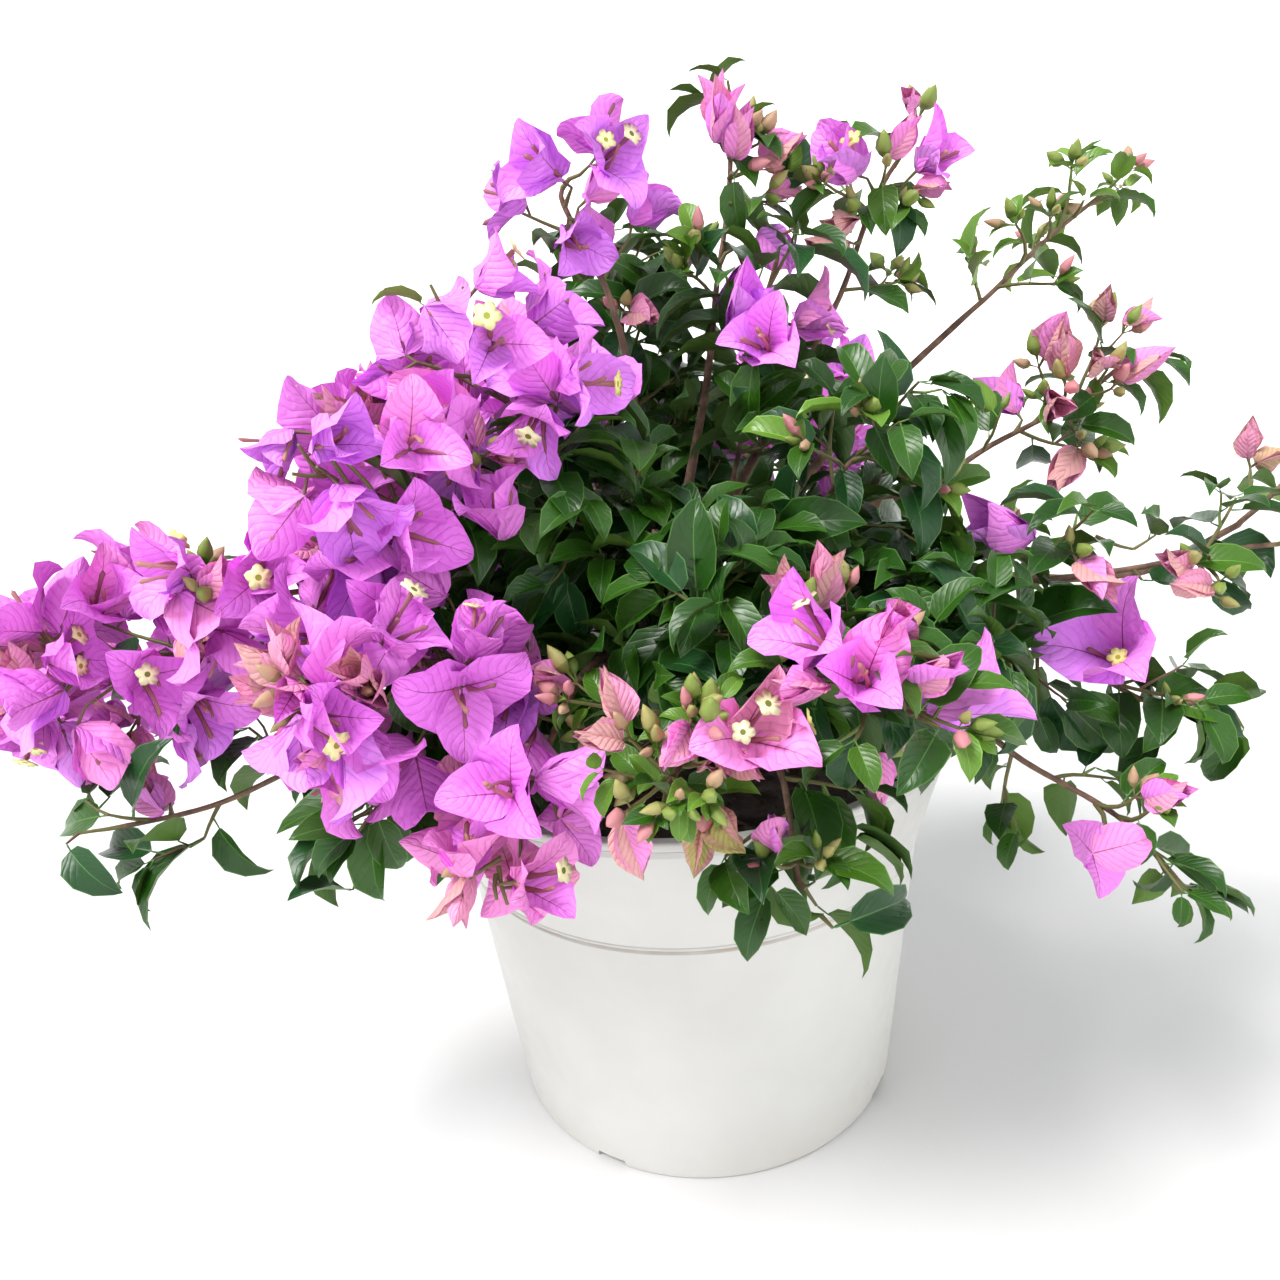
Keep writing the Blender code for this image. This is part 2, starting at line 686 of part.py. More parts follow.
def main():
    clear_scene()
    plant = new_collection("bougainvillea")
    cutters = new_collection("cutters")
    scratch = new_collection("scratch")
    finishes = {
        "pot": finish_material("pot_plastic", (0.82, 0.80, 0.75), 0.42),
        "soil": finish_material("potting_soil", (0.045, 0.030, 0.020), 0.95),
        "bark": finish_material("cane_bark", (0.165, 0.095, 0.060), 0.80),
        "leaf": finish_material("leaf_green", (0.040, 0.130, 0.022), 0.45),
        "bract": finish_material("bract_magenta", (0.680, 0.190, 0.640), 0.60),
    }
    make_pot(plant, cutters).data.materials.append(finishes["pot"])
    make_soil(plant).data.materials.append(finishes["soil"])
    ways = stub_directions()
    make_trunk(ways, plant).data.materials.append(finishes["bark"])
    routes, stems, dice = {}, {}, {}
    for number, (mass, way) in enumerate(zip(MASSES, ways)):
        dice[mass.name] = random.Random(101 + number)
        routes[mass.name] = route_of(mass, way)
        stems[mass.name] = stem_points(mass, dice[mass.name])
    guards = limb_guards(routes, stems, scratch)
    profile = three_sided_profile(cutters)
    for mass in MASSES:
        route = routes[mass.name]
        if mass.caned:
            cane = tube(f"cane_{mass.name}", route, taper(CANE_RADIUS, CANE_TIP_RADIUS, len(route)),
                        1, plant)
            cane.data.materials.append(finishes["bark"])
        stem = stems[mass.name]
        body = make_stem(mass, stem if mass.caned else route + stem[1:], profile, plant)
        growth = Growth(mass, body, stem, dice[mass.name], guards)
        growth.grow()
        growth.join()
        body.data.materials.clear()
        colour = "bract" if mass.kind == "bloom" else "leaf"
        body.data.materials.append(finishes[colour])
    bpy.data.collections.remove(scratch)


main()
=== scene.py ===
"""Looks of a bougainvillea in its white nursery pot, dressed round its packed frame.

Metres, +Z up.  Aim angles are measured round +Z from +X, so the plant's front is at -90 degrees.
Every mass of the frame is grown again by the same rule and carried on to finer twigs, leaves,
buds and flowers of three papery bracts, all inside the space that the mass may fill.
"""
import math
import random
from collections import namedtuple
from functools import cache
from itertools import product

import bmesh
import bpy
from bpy.props import FloatProperty, FloatVectorProperty, IntProperty, PointerProperty
from mathutils import Matrix, Quaternion, Vector
from mathutils.kdtree import KDTree


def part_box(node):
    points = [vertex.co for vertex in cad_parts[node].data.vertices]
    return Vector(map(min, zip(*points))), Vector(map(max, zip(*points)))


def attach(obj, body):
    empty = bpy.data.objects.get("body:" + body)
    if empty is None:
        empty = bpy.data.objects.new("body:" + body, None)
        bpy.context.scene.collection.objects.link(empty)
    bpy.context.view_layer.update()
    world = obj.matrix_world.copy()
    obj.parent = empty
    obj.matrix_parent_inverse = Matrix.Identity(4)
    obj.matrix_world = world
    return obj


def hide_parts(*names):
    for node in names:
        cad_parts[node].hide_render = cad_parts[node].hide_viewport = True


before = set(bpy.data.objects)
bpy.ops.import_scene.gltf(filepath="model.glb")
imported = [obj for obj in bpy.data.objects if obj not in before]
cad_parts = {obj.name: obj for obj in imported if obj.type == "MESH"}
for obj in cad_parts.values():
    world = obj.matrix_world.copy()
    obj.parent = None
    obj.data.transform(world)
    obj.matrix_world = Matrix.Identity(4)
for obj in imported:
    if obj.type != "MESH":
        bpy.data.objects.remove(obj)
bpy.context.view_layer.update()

bl_info = {
    "name": "Potted bougainvillea",
    "version": (1, 0, 0),
    "blender": (4, 5, 0),
    "location": "View3D > Sidebar > Bougainvillea",
    "description": "Grows a flowering bougainvillea bush in a nursery pot round its frame",
    "category": "Object",
}

UP = Vector((0.0, 0.0, 1.0))
GOLDEN_ANGLE = math.radians(137.508)
THIRD = math.tau / 3

# Pot and soil: height, rim and soil level come from the frame, the rest is the moulding's own
POT_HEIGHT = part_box("pot")[1].z
RIM_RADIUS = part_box("pot")[1].x
SOIL_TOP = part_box("soil")[1].z
BASE_RADIUS = 0.1005
FLOOR_THICKNESS = 0.0055
WALL_THICKNESS = 0.0028
GROOVE_HEIGHT = 0.1415
GROOVE_RADIUS = 0.1135
BAND_HEIGHT = 0.1995
BAND_FOOT_RADIUS = 0.1300
RIM_WIDTH = 0.0052
LIP_RADIUS = 0.0012
BAND_STEP = 0.0016
SOIL_EDGE_HEIGHT = 0.1855
SOIL_PLAY = 0.0004              # between the potting mix and the wall
CRUMBS = 560
CRUMB_TILT = 28.0               # degrees
CRUMB_STRETCHES = ((1.0, 0.6, 0.35), (1.0, 0.5, 0.35), (1.0, 0.4, 0.35))
SOIL_STEPS = 26
SOIL_SIDES = 96
SOIL_BUMP = 0.0012
SOIL_SEED = 31
FLOOR_FILLET = 0.0030
DUST = (0.36, 0.25, 0.18)       # colours of the dust caught in the groove and of the darker, yellower tone towards the foot
FOOT_TONE = (0.55, 0.47, 0.30)
DUST_SHARE = 0.75
FOOT_TONE_SHARE = 0.22
FOOT_TONE_HEIGHT = 0.030
NOTCH_AIMS = (-120.0, -31.0, 59.0, 149.0)
NOTCH_WIDTH = 0.0175
NOTCH_HEIGHT = 0.0040
NOTCH_DEPTH = 0.0060

# Trunk and limbs, as in the frame
TRUNK_FOOT = Vector((0.004, 0.002, SOIL_TOP))
KNOB = Vector((0.000, -0.004, 0.2300))
TRUNK_SHARES = (0.0, 0.07, 0.30, 0.62, 0.95, 1.25)
TRUNK_RADII = (0.0205, 0.0160, 0.0145, 0.0150, 0.0155, 0.0105)
ROOT_COUNT = 5
FIRST_ROOT_AIM = 20.0
ROOT_REACH = 0.027
ROOT_RISE = 0.016
ROOT_RADIUS = 0.0085
ROOT_TIP_RADIUS = 0.0026
STUB_START = 0.009
STUB_REACH = 0.031
STUB_RADIUS = 0.0035
STUB_SPREAD = math.radians(19.0)
STUB_LOWEST = math.radians(12.0)
BARKS = {                       # dark and light colour, grain and relief
    "trunk": ((0.075, 0.045, 0.032), (0.230, 0.160, 0.115), 90.0, 0.0010),
    "cane": ((0.095, 0.050, 0.034), (0.250, 0.150, 0.100), 130.0, 0.0006),
    "crumb": ((0.060, 0.032, 0.018), (0.170, 0.100, 0.060), 240.0, 0.0006),
}
BARK_CELL = 0.0011              # of the mesh that melts the trunk's limbs together
FURROW_WIDTH = 0.0060
FURROW_DEPTH = 0.0011
CANE_RADIUS = 0.0030
CANE_BENDS = 11
CANE_LEAD = 0.004
CANE_PULL = 0.38
STEM_TIP_RADIUS = 0.0010
TWIG_RADIUS = 0.0010
TWIG_TIP_RADIUS = 0.0006
STALK_RADIUS = 0.0005
LOWEST_LEAN = math.radians(78.0)
TOP_LEAN = math.radians(26.0)
USUAL_SPREAD = 0.044
POT_MARGIN = 0.0030
PLANT_SEED = 71
MASS_SEED = 101                 # of the first mass; every next one takes the next number
SPILL = 1.05                    # how far past its mass's space a blade's tip may reach
LOW_SPILL = 1.16                # the same for the low masses, which close up round the pot

# One row for each mass.  aim, rise: degrees; the rest: metres.  A mass with no cane grows straight
# from the trunk on a longer stem.  fill: how many twigs it bears, against what is usual for its kind.
Mass = namedtuple("Mass", "name kind aim reach height spread length rise caned fill")
MASSES = [Mass(*row) for row in (
    ("far_left", "bloom", -163, 0.238, 0.270, 0.058, 0.062, -6, True, 1.25),
    ("left", "bloom", -152, 0.186, 0.306, 0.046, 0.046, 12, True, 1.30),
    ("left_upper", "bloom", -131, 0.092, 0.374, 0.056, 0.056, 52, True, 0.90),
    ("left_shoulder", "bloom", -136, 0.142, 0.338, 0.054, 0.054, 34, True, 1.30),
    ("left_front", "bloom", -128, 0.166, 0.280, 0.056, 0.056, 6, True, 1.35),
    ("rim_left", "bloom", -111, 0.166, 0.236, 0.044, 0.044, -28, True, 1.20),
    ("left_trail", "leaf", -154, 0.216, 0.222, 0.044, 0.068, -6, True, 0.28),
    ("left_skirt", "leaf", -139, 0.170, 0.214, 0.046, 0.044, -42, False, 0.40),
    ("crown_left", "bloom", 180, 0.028, 0.436, 0.047, 0.050, 76, True, 0.22),
    ("crown", "bud", 30, 0.040, 0.434, 0.044, 0.055, 80, True, 0.28),
    ("crown_right", "bud", 20, 0.112, 0.424, 0.048, 0.050, 60, True, 0.30),
    ("upper_right", "young", 17, 0.200, 0.404, 0.040, 0.054, 34, True, 0.60),
    ("right_spray", "bud", 5, 0.188, 0.336, 0.046, 0.054, 28, True, 0.40),
    ("right", "mixed", -17, 0.164, 0.288, 0.044, 0.050, 12, True, 0.32),
    ("far_right", "mixed", -8, 0.244, 0.272, 0.042, 0.050, 8, True, 0.16),
    ("right_edge", "young", 0, 0.300, 0.308, 0.040, 0.048, 42, True, 0.50),
    ("right_trail", "leaf", -18, 0.206, 0.226, 0.048, 0.054, -22, True, 0.30),
    ("right_skirt", "trail", -30, 0.198, 0.180, 0.046, 0.058, -34, True, 0.34),
    ("front_right", "mixed", -67, 0.164, 0.272, 0.054, 0.052, 4, True, 0.50),
    ("front", "sprout", -92, 0.152, 0.258, 0.056, 0.054, 2, True, 0.42),
    ("front_skirt", "leaf", -76, 0.168, 0.212, 0.044, 0.042, -40, False, 0.30),
    ("heart_left", "leaf", -120, 0.072, 0.312, 0.058, 0.058, 52, False, 0.75),
    ("heart", "leaf", -84, 0.098, 0.282, 0.058, 0.056, 34, False, 0.80),
    ("heart_right", "leaf", -30, 0.088, 0.322, 0.060, 0.060, 56, False, 0.34),
    ("heart_low_left", "leaf", -138, 0.104, 0.254, 0.056, 0.054, 18, False, 0.95),
    ("heart_low_right", "leaf", -42, 0.122, 0.256, 0.056, 0.054, 14, False, 0.85),
    ("heart_top", "leaf", 0, 0.046, 0.374, 0.056, 0.060, 76, False, 0.22),
    ("heart_back", "leaf", 92, 0.076, 0.306, 0.062, 0.060, 48, False, 1.10),
    ("back_left", "bloom", 158, 0.146, 0.322, 0.056, 0.056, 30, True, 1.10),
    ("back_left_low", "leaf", 150, 0.168, 0.244, 0.054, 0.056, 0, False, 1.15),
    ("back", "bloom", 114, 0.142, 0.326, 0.056, 0.056, 34, True, 1.10),
    ("back_low", "leaf", 102, 0.170, 0.244, 0.056, 0.056, 0, False, 1.15),
    ("back_right", "bloom", 60, 0.150, 0.318, 0.056, 0.056, 30, True, 1.10),
    ("back_right_low", "leaf", 50, 0.178, 0.244, 0.056, 0.056, 0, False, 1.15),
    ("back_high", "leaf", 104, 0.066, 0.386, 0.054, 0.058, 66, False, 0.50),
)]
MASS_CALLED = {mass.name: mass for mass in MASSES}

# Sprays that stand out of the masses, on twigs of their own: for each mass, what every one of its
# sprays ends in and the spray's place in millimetres.
SPRAYS = {
    "front_right": (("big", 86, -190, 276), ("big", 46, -170, 308), ("one", 52, -180, 296),
                    ("shut", 42, -185, 295), ("shut", 72, -175, 310), ("shut", 71, -190, 290)),
    "far_right": (("big", 209, -65, 282), ("shut", 203, -60, 276), ("shut", 218, -70, 264),
                  ("buds", 218, -60, 251)),
    "crown": (("half", 32, 0, 470), ("buds", 50, 10, 472), ("shut", 46, -5, 454),
              ("buds", 60, 15, 466), ("shut", 64, 15, 452), ("one", 40, -10, 425),
              ("shut", 68, 15, 430), ("one", 61, 10, 411), ("one", 41, 10, 392)),
    "crown_right": (("one", 122, 10, 442), ("one", 89, 20, 452), ("shut", 104, 10, 451),
                    ("shut", 126, 10, 430), ("shut", 82, 15, 420), ("shut", 81, 20, 398),
                    ("buds", 117, 10, 420), ("buds", 66, 10, 440)),
    "upper_right": (("buds", 156, 45, 416), ("buds", 182, 50, 428), ("leaves", 212, 50, 432)),
    "crown_left": (("lilac", -13, -20, 466), ("lilac", -31, -30, 452), ("lilac", -36, -35, 422),
                   ("one", -28, -15, 444)),
    "heart_top": (("big", 16, -35, 374), ("one", 38, -45, 374), ("one", 66, 0, 398)),
    "back_high": (("shut", -12, 0, 391),),
    "left_upper": (("half", -42, -60, 396), ("half", -70, -60, 404), ("buds", -93, -65, 416)),
    "far_left": (("buds", -180, -60, 318),),
    "left_trail": (("pinks", -236, -90, 212),),
    "right_spray": (("shut", 158, 5, 363), ("shut", 172, -15, 350), ("shut", 203, -15, 360),
                    ("shut", 205, -20, 346), ("one", 148, 20, 318), ("shut", 158, -10, 338),
                    ("shut", 184, -15, 309)),
    "heart_right": (("buds", 79, -75, 364), ("buds", 47, -80, 350), ("buds", 120, -75, 318)),
    "right": (("big", 141, -80, 300), ("shut", 165, -85, 289)),
    "right_trail": (("big", 174, -75, 245), ("buds", 206, -95, 224)),
    "front": (("pinks", 33, -180, 273), ("pale", -23, -190, 283), ("buds", 8, -185, 293),
              ("buds", 14, -185, 287), ("pale", 17, -190, 268), ("buds", -10, -195, 279)),
    "front_skirt": (("shut", 15, -185, 232), ("buds", 43, -190, 236)),
    "right_skirt": (("pinks", 152, -135, 173), ("shut", 181, -115, 214), ("buds", 188, -125, 210)),
}

# Round spaces kept open to the sky, each a centre and a radius in millimetres
OPEN_SPACES = [(Vector(centre) / 1000, radius / 1000) for *centre, radius in (
    (-98, -20, 440, 32), (-79, -50, 424, 26), (-56, -40, 417, 13), (-131, -80, 392, 20),
    (87, -10, 386, 14), (145, 10, 388, 26), (60, 50, 380, 18), (150, -10, 342, 12),
    (216, -50, 247, 16), (148, -95, 224, 12), (253, -20, 316, 22), (201, -20, 316, 12),
    (-165, -90, 230, 12), (-268, -80, 221, 14), (-4, -10, 412, 10),
)]

# What a kind of mass bears: its node's prefix, twigs on the stem of a mass of usual spread, how far
# they reach towards the edge, leaf length and step along a twig, the share of a twig that bears
# leaves, its leaf tints, and what ends a twig with its weights.
Habit = namedtuple("Habit", "prefix twigs reach leaf step leafy tints tips")
HABITS = {
    "bloom": Habit("blooms", 20, 0.54, 0.034, 0.0120, 0.35, (0, 1, 1, 2), {"open": 9, "half": 1}),
    "mixed": Habit("blooms", 13, 0.62, 0.034, 0.0095, 1.0, (0, 1, 1, 2, 3),
                   {"open": 1, "half": 1, "leaves": 6, "buds": 1}),
    "leaf": Habit("leaves", 14, 0.68, 0.040, 0.0090, 1.0, (0, 0, 1, 1, 1, 2, 2), {"leaves": 1}),
    "trail": Habit("trail", 12, 0.70, 0.027, 0.0090, 0.9, (0, 1, 1, 2, 3),
                   {"leaves": 6, "pinks": 1, "buds": 1}),
    "young": Habit("shoots", 10, 0.66, 0.025, 0.0095, 1.0, (2, 3, 4, 4, 5),
                   {"buds": 4, "leaves": 2, "pale": 1}),
    "sprout": Habit("shoots", 14, 0.66, 0.018, 0.0080, 1.0, (1, 2, 3, 4, 4),
                    {"buds": 4, "leaves": 2, "pale": 1, "shut": 1}),
    "bud": Habit("buds", 10, 0.62, 0.032, 0.0105, 0.8, (0, 1, 2, 2, 3),
                 {"buds": 3, "pale": 1, "half": 2, "leaves": 4}),
}
ROSETTE_TINTS = (2, 3, 4, 4)
BUD_MIX = (0, 0, 1, 1, 2, 3)    # the tints of buds

# What an ending bears: flowers, how far its bracts open in degrees, their length against a full
# grown one, and the bract tints that one flower takes together
Bearing = namedtuple("Bearing", "flowers least most length families")
BEARINGS = {
    "open": Bearing(3, 30.0, 56.0, 1.00,
                    ((0, 1, 1), (1, 1, 2), (0, 1, 2), (1, 1, 3), (1, 1, 1), (1, 2, 2), (0, 0, 1))),
    "lilac": Bearing(3, 28.0, 52.0, 0.90, ((0, 0, 1), (0, 1, 1), (0, 0, 0), (0, 2, 2))),
    "pinks": Bearing(2, 34.0, 58.0, 0.84, ((1, 1, 3), (3, 3, 4), (1, 3, 3))),
    "one": Bearing(1, 26.0, 50.0, 0.84, ((0, 0, 1), (0, 1, 1), (0, 1, 2), (1, 1, 3))),
    "big": Bearing(1, 24.0, 46.0, 1.06, ((0, 0, 1), (0, 1, 1), (0, 1, 2))),
    "shut": Bearing(1, 7.0, 20.0, 0.66, ((3, 4, 5), (4, 4, 5), (1, 3, 4), (4, 5, 5), (3, 3, 4))),
    "half": Bearing(2, 13.0, 26.0, 0.68, ((3, 3, 4), (4, 4, 5), (3, 4, 5), (1, 3, 4))),
    "pale": Bearing(2, 6.0, 13.0, 0.56, ((5, 5, 6), (4, 5, 5), (5, 6, 7), (4, 4, 5))),
}
CLOSED_UNDER = 28.0             # degrees; a flower less open than this has its bracts rolled up
PINK_BELOW = 0.232              # flowers under this height are pinker
LILAC_ABOVE = 0.36              # and over this height more violet
FLOWER_ROOM = 0.0058            # round a flower's heart and the middle of each bract
FLOWER_TRIES = 9
LEAF_ROOM = 0.105               # against the leaf's length, round three places along it
LIMB_ROOM = 0.0040
BUD_ROOM = 0.0020

# Twigs; lifts and sways are shares of a unit direction
TWIG_POINTS = 5
TWIG_LIFT = 0.16
HANGING_LIFT = -0.10            # in a mass whose axis falls more than 20 degrees
TWIG_SWAY = 0.16
SHORTEST_TWIG = 0.006
SHORTEST_SIDE_TWIG = 0.009
LONGEST_SIDE_TWIG = 0.020
SPRAY_POINTS = 7
SPRAY_STEP = 0.013              # between the leaves on a spray's twig
SPRAY_INSET = 0.006             # between a spray's place and its twig's end, besides half a bract
SPRAY_REACH = 0.11              # masses whose middle is nearer may hold a spray's blades too
SPRAYS_FROM = 5                 # sprays grow from this point of a cane's route or later
ROOT_PLACES = 40                # places along a stem where a spray's twig may begin

# A leaf: its angle off the twig in degrees, how it hangs and strays, the further turns tried where
# it has no room, and the shares of its length where its room is asked
LEAF_TILT = (48.0, 72.0)
LEAF_DROOP = 0.22
LEAF_SWAY = 0.45
LEAF_TURNS = (0.0, 0.9, -0.9, 1.8)
LEAF_SPOTS = (0.40, 0.66, 0.92)
LEAF_TIP = 1.12
LEAF_WIDEST = 0.62
LEAF_HALF_WIDTH = 0.30
CANE_LEAVES = 12
CANE_LEAVES_FROM = 0.34         # of the cane's stretches
CANE_LEAF_STEP = 0.055
CANE_LEAF_MISSES = 0.2          # share of the places that stay bare

# A flower: how far it strays, more with every try, and how much it shrinks; its stalks and tubes
FLOWER_SWAY = 0.45
FLOWER_MORE_SWAY = 0.06
FLOWER_SHRINK = 0.03
STALK_LEAN = 46.0               # degrees
STALK_LENGTHS = (0.005, 0.009)
CLOSED_STALK = 0.0045
TUBE_LEAN = (8.0, 18.0)         # degrees
TOP_BUD_LEAN = 14.0             # degrees
BUD_LEAN = (35.0, 60.0)         # degrees
BUD_REACH = 1.3                 # with its stalk, against its own length

# Colours in linear light, one for each tint.  Each zone of a blade makes its own from them, by a
# share of red, green and blue and a lift that is added, with its own roughness, gloss and relief.
LEAF_TINTS = ((0.012, 0.062, 0.014), (0.013, 0.062, 0.004), (0.024, 0.090, 0.005),
              (0.050, 0.135, 0.009), (0.110, 0.235, 0.022), (0.185, 0.310, 0.048))
BRACT_TINTS = ((0.827, 0.281, 0.996), (0.933, 0.273, 0.943), (0.827, 0.201, 0.848),
               (0.912, 0.286, 0.731), (0.848, 0.329, 0.551), (0.721, 0.360, 0.382),
               (0.636, 0.424, 0.276), (0.488, 0.456, 0.159))
Zone = namedtuple("Zone", "name share lift roughness gloss relief grain")
# The third leaf zone colours the pale midrib, and also the pale strip along the edge of a leaf's upper
# face, which is a painted highlight of its rolled edge.
LEAF_ZONES = (Zone("leaf_upper", (1.0, 1.0, 1.0), (0.0, 0.0, 0.0), 0.34, 0.42, 0.00045, 150.0),
              Zone("leaf_under", (1.0, 1.0, 1.0), (0.05, 0.075, 0.012), 0.55, 0.5, 0.00060, 150.0),
              Zone("leaf_rib", (1.4, 1.4, 1.4), (0.04, 0.075, 0.018), 0.45, 0.5, 0.00010, 150.0))
BRACT_ZONES = (Zone("bract_inner", (1.0, 1.0, 1.0), (0.0, 0.0, 0.0), 0.60, 0.5, 0.00190, 190.0),
               Zone("bract_outer", (0.94, 0.93, 0.89), (0.0, 0.0, 0.0), 0.60, 0.5, 0.00190, 190.0),
               Zone("bract_rib", (0.35, 0.25, 0.20), (0.0, 0.0, 0.0), 0.60, 0.5, 0.00190, 190.0))
LEAF_PIECES = (("old_leaves", (0, 1), "leaf"),     # a name, its tints, the kind of mass it replaces
               ("young_leaves", (2, 3, 4, 5), "trail"))
VEIN_PAIRS = 4.0
VEIN_SLANT = 0.7
TUBE_TINTS = {
    "tube": ((0.330, 0.130, 0.125), (0.270, 0.090, 0.120), (0.400, 0.190, 0.150)),
    "star": ((0.930, 0.870, 0.420), (0.900, 0.820, 0.500), (0.940, 0.860, 0.300)),
    "eye": ((0.300, 0.340, 0.030), (0.160, 0.180, 0.020), (0.400, 0.400, 0.030)),
}
BUD_TINTS = {
    "calyx": ((0.130, 0.210, 0.035), (0.210, 0.240, 0.055), (0.260, 0.210, 0.085),
              (0.330, 0.160, 0.120)),
    "cap": ((0.200, 0.270, 0.050), (0.340, 0.310, 0.105), (0.440, 0.280, 0.170),
            (0.540, 0.210, 0.230)),
}
TWIG_TINTS = {"twig": ((0.150, 0.085, 0.055), (0.150, 0.140, 0.045), (0.170, 0.260, 0.060))}


# ---------------------------------------------------------------- the sizes and colours to change

def colour_property(name, description, default):
    return FloatVectorProperty(name=name, description=description, default=default,
                               subtype="COLOR", size=3, min=0, max=1)


def length_property(name, description, default):
    return FloatProperty(name=name, description=description, default=default, unit="LENGTH")


class PotSettings(bpy.types.PropertyGroup):
    """The nursery pot and the potting mix."""
    steps: IntProperty(name="Steps", description="Facets round the pot", default=160, min=32)
    plastic: colour_property("Plastic", "Colour of the pot's plastic", (0.628, 0.624, 0.602))
    soil: colour_property("Potting mix", "Colour of the damp potting mix", (0.040, 0.026, 0.018))
    crumb: length_property("Crumb", "Length of the largest bark crumbs", 0.0085)


class WoodSettings(bpy.types.PropertyGroup):
    """The trunk, canes and twigs."""
    relief: length_property("Relief", "Depth of the bark's ridges", 0.00055)
    grain: FloatProperty(name="Grain", description="Ridges in a metre of bark", default=260.0)
    ring: length_property("Ring spacing", "Distance between a cane's rings", 0.0028)


class BladeSettings(bpy.types.PropertyGroup):
    """The bracts, flower tubes and buds."""
    bract: length_property("Bract", "Length of a full grown bract", 0.0360)
    tube: length_property("Tube", "Length of a flower's tube", 0.0175)
    bud: length_property("Bud", "Length of the largest buds", 0.0120)


class StageSettings(bpy.types.PropertyGroup):
    """The plain studio."""
    key: FloatProperty(name="Key light", description="Strength of the light that casts the shadow",
                       default=4.1)
    fill: FloatProperty(name="Fill light", description="Strength of the light from the front",
                        default=0.75)
    sky: FloatProperty(name="Sky", description="Strength of the light from all round", default=0.64)
    floor: colour_property("Floor", "Colour of the floor near the plant", (0.690, 0.690, 0.690))


SETTINGS = {"pot": PotSettings, "wood": WoodSettings, "blades": BladeSettings,
            "stage": StageSettings}


def settings(name):
    return getattr(bpy.context.scene, "bougainvillea_" + name)


# ---------------------------------------------------------------- the rule of growth

def heading(aim, rise):
    """Unit vector at an aim round +Z and a rise above the horizontal, both in degrees."""
    aim, rise = math.radians(aim), math.radians(rise)
    return Vector((math.cos(aim) * math.cos(rise), math.sin(aim) * math.cos(rise), math.sin(rise)))


@cache
def centre_of(mass):
    """The middle of the ellipsoid that a mass may fill."""
    return mass.reach * heading(mass.aim, 0.0) + mass.height * UP


@cache
def axis_of(mass):
    """The way that its stem runs through a mass."""
    return heading(mass.aim, mass.rise)


def entry_of(mass):
    """Where the stem enters the mass."""
    return centre_of(mass) - mass.length * axis_of(mass)


def stub_directions():
    """A direction out of the knob for each mass, near its way out but apart from the others."""
    wanted = []
    for mass in MASSES:
        way = entry_of(mass) - KNOB
        way.z += 0.5 * math.hypot(way.x, way.y)
        wanted.append(way.normalized())
    for _ in range(120):
        for first in range(len(wanted)):
            for second in range(first):
                push_apart(wanted, first, second)
        for way in wanted:
            way.z = max(way.z, math.sin(STUB_LOWEST))
            way.normalize()
    return wanted


def push_apart(ways, first, second):
    """Turn two directions away from each other where they are too close."""
    angle = ways[first].angle(ways[second])
    if angle < STUB_SPREAD:
        away = (ways[first] - ways[second]).normalized() * 0.5 * (STUB_SPREAD - angle)
        ways[first] = (ways[first] + away).normalized()
        ways[second] = (ways[second] - away).normalized()


def bezier(start, start_pull, end_pull, end, share):
    """The point at a share of a cubic curve."""
    rest = 1.0 - share
    return (rest ** 3 * start + 3 * rest ** 2 * share * start_pull
            + 3 * rest * share ** 2 * end_pull + share ** 3 * end)


def route_of(mass, way):
    """A cane's points, from inside its stub to where it enters the mass."""
    start = KNOB + STUB_REACH * way
    end = entry_of(mass)
    stretch = (end - start).length
    lead = min(CANE_LEAD, 0.2 * stretch)
    start_pull = start + CANE_PULL * stretch * way
    end_pull = end - CANE_PULL * stretch * axis_of(mass)
    bends = [bezier(start, start_pull, end_pull, end, number / (CANE_BENDS + 1))
             for number in range(2, CANE_BENDS)]
    return [KNOB + 0.6 * STUB_REACH * way, start + lead * way, *bends,
            end - lead * axis_of(mass), end]


def stem_points(mass, rng):
    """The stem inside the mass: from its entry, bending a little, towards its far end."""
    axis = axis_of(mass)
    start = entry_of(mass)
    middle = centre_of(mass) + 0.12 * mass.spread * sideways(axis, rng.uniform(0.0, math.tau))
    return [start, start + 0.3 * mass.length * axis, middle,
            centre_of(mass) + 0.55 * mass.length * axis]


def sideways(axis, angle):
    """Unit vector square to the axis, turned round it by the angle."""
    across = axis.cross(UP if abs(axis.z) < 0.95 else Vector((1.0, 0.0, 0.0))).normalized()
    return Quaternion(axis, angle) @ across


def leaning(axis, turn, lean):
    """A direction that leans from the axis by so many degrees, turned round it."""
    lean = math.radians(lean)
    return (math.cos(lean) * axis + math.sin(lean) * sideways(axis, turn)).normalized()


def along_path(points, share):
    """The point at a share of the path's number of stretches."""
    place = share * (len(points) - 1)
    index = min(int(place), len(points) - 2)
    return points[index].lerp(points[index + 1], place - index)


def cut_short(points, share):
    """Draw a path's points back so that it ends at a share of its stretches."""
    points[:] = [along_path(points, share * n / (len(points) - 1)) for n in range(len(points))]


def taper(start_radius, end_radius, count):
    return [start_radius + (end_radius - start_radius) * n / (count - 1) for n in range(count)]


def spill_of(mass):
    return LOW_SPILL if "low" in mass.name else SPILL


def in_ellipsoid(mass, point, spill=1.0):
    """Whether a point lies in the mass's space, swollen by the spill."""
    axis = axis_of(mass)
    offset = point - centre_of(mass)
    along = offset.dot(axis)
    across = (offset - along * axis).length
    return (along / mass.length) ** 2 + (across / mass.spread) ** 2 <= spill ** 2


def outside_pot(point):
    """Whether a point is above the pot's rim or beyond it."""
    return (point.z > POT_HEIGHT + POT_MARGIN
            or math.hypot(point.x, point.y) > RIM_RADIUS + POT_MARGIN)


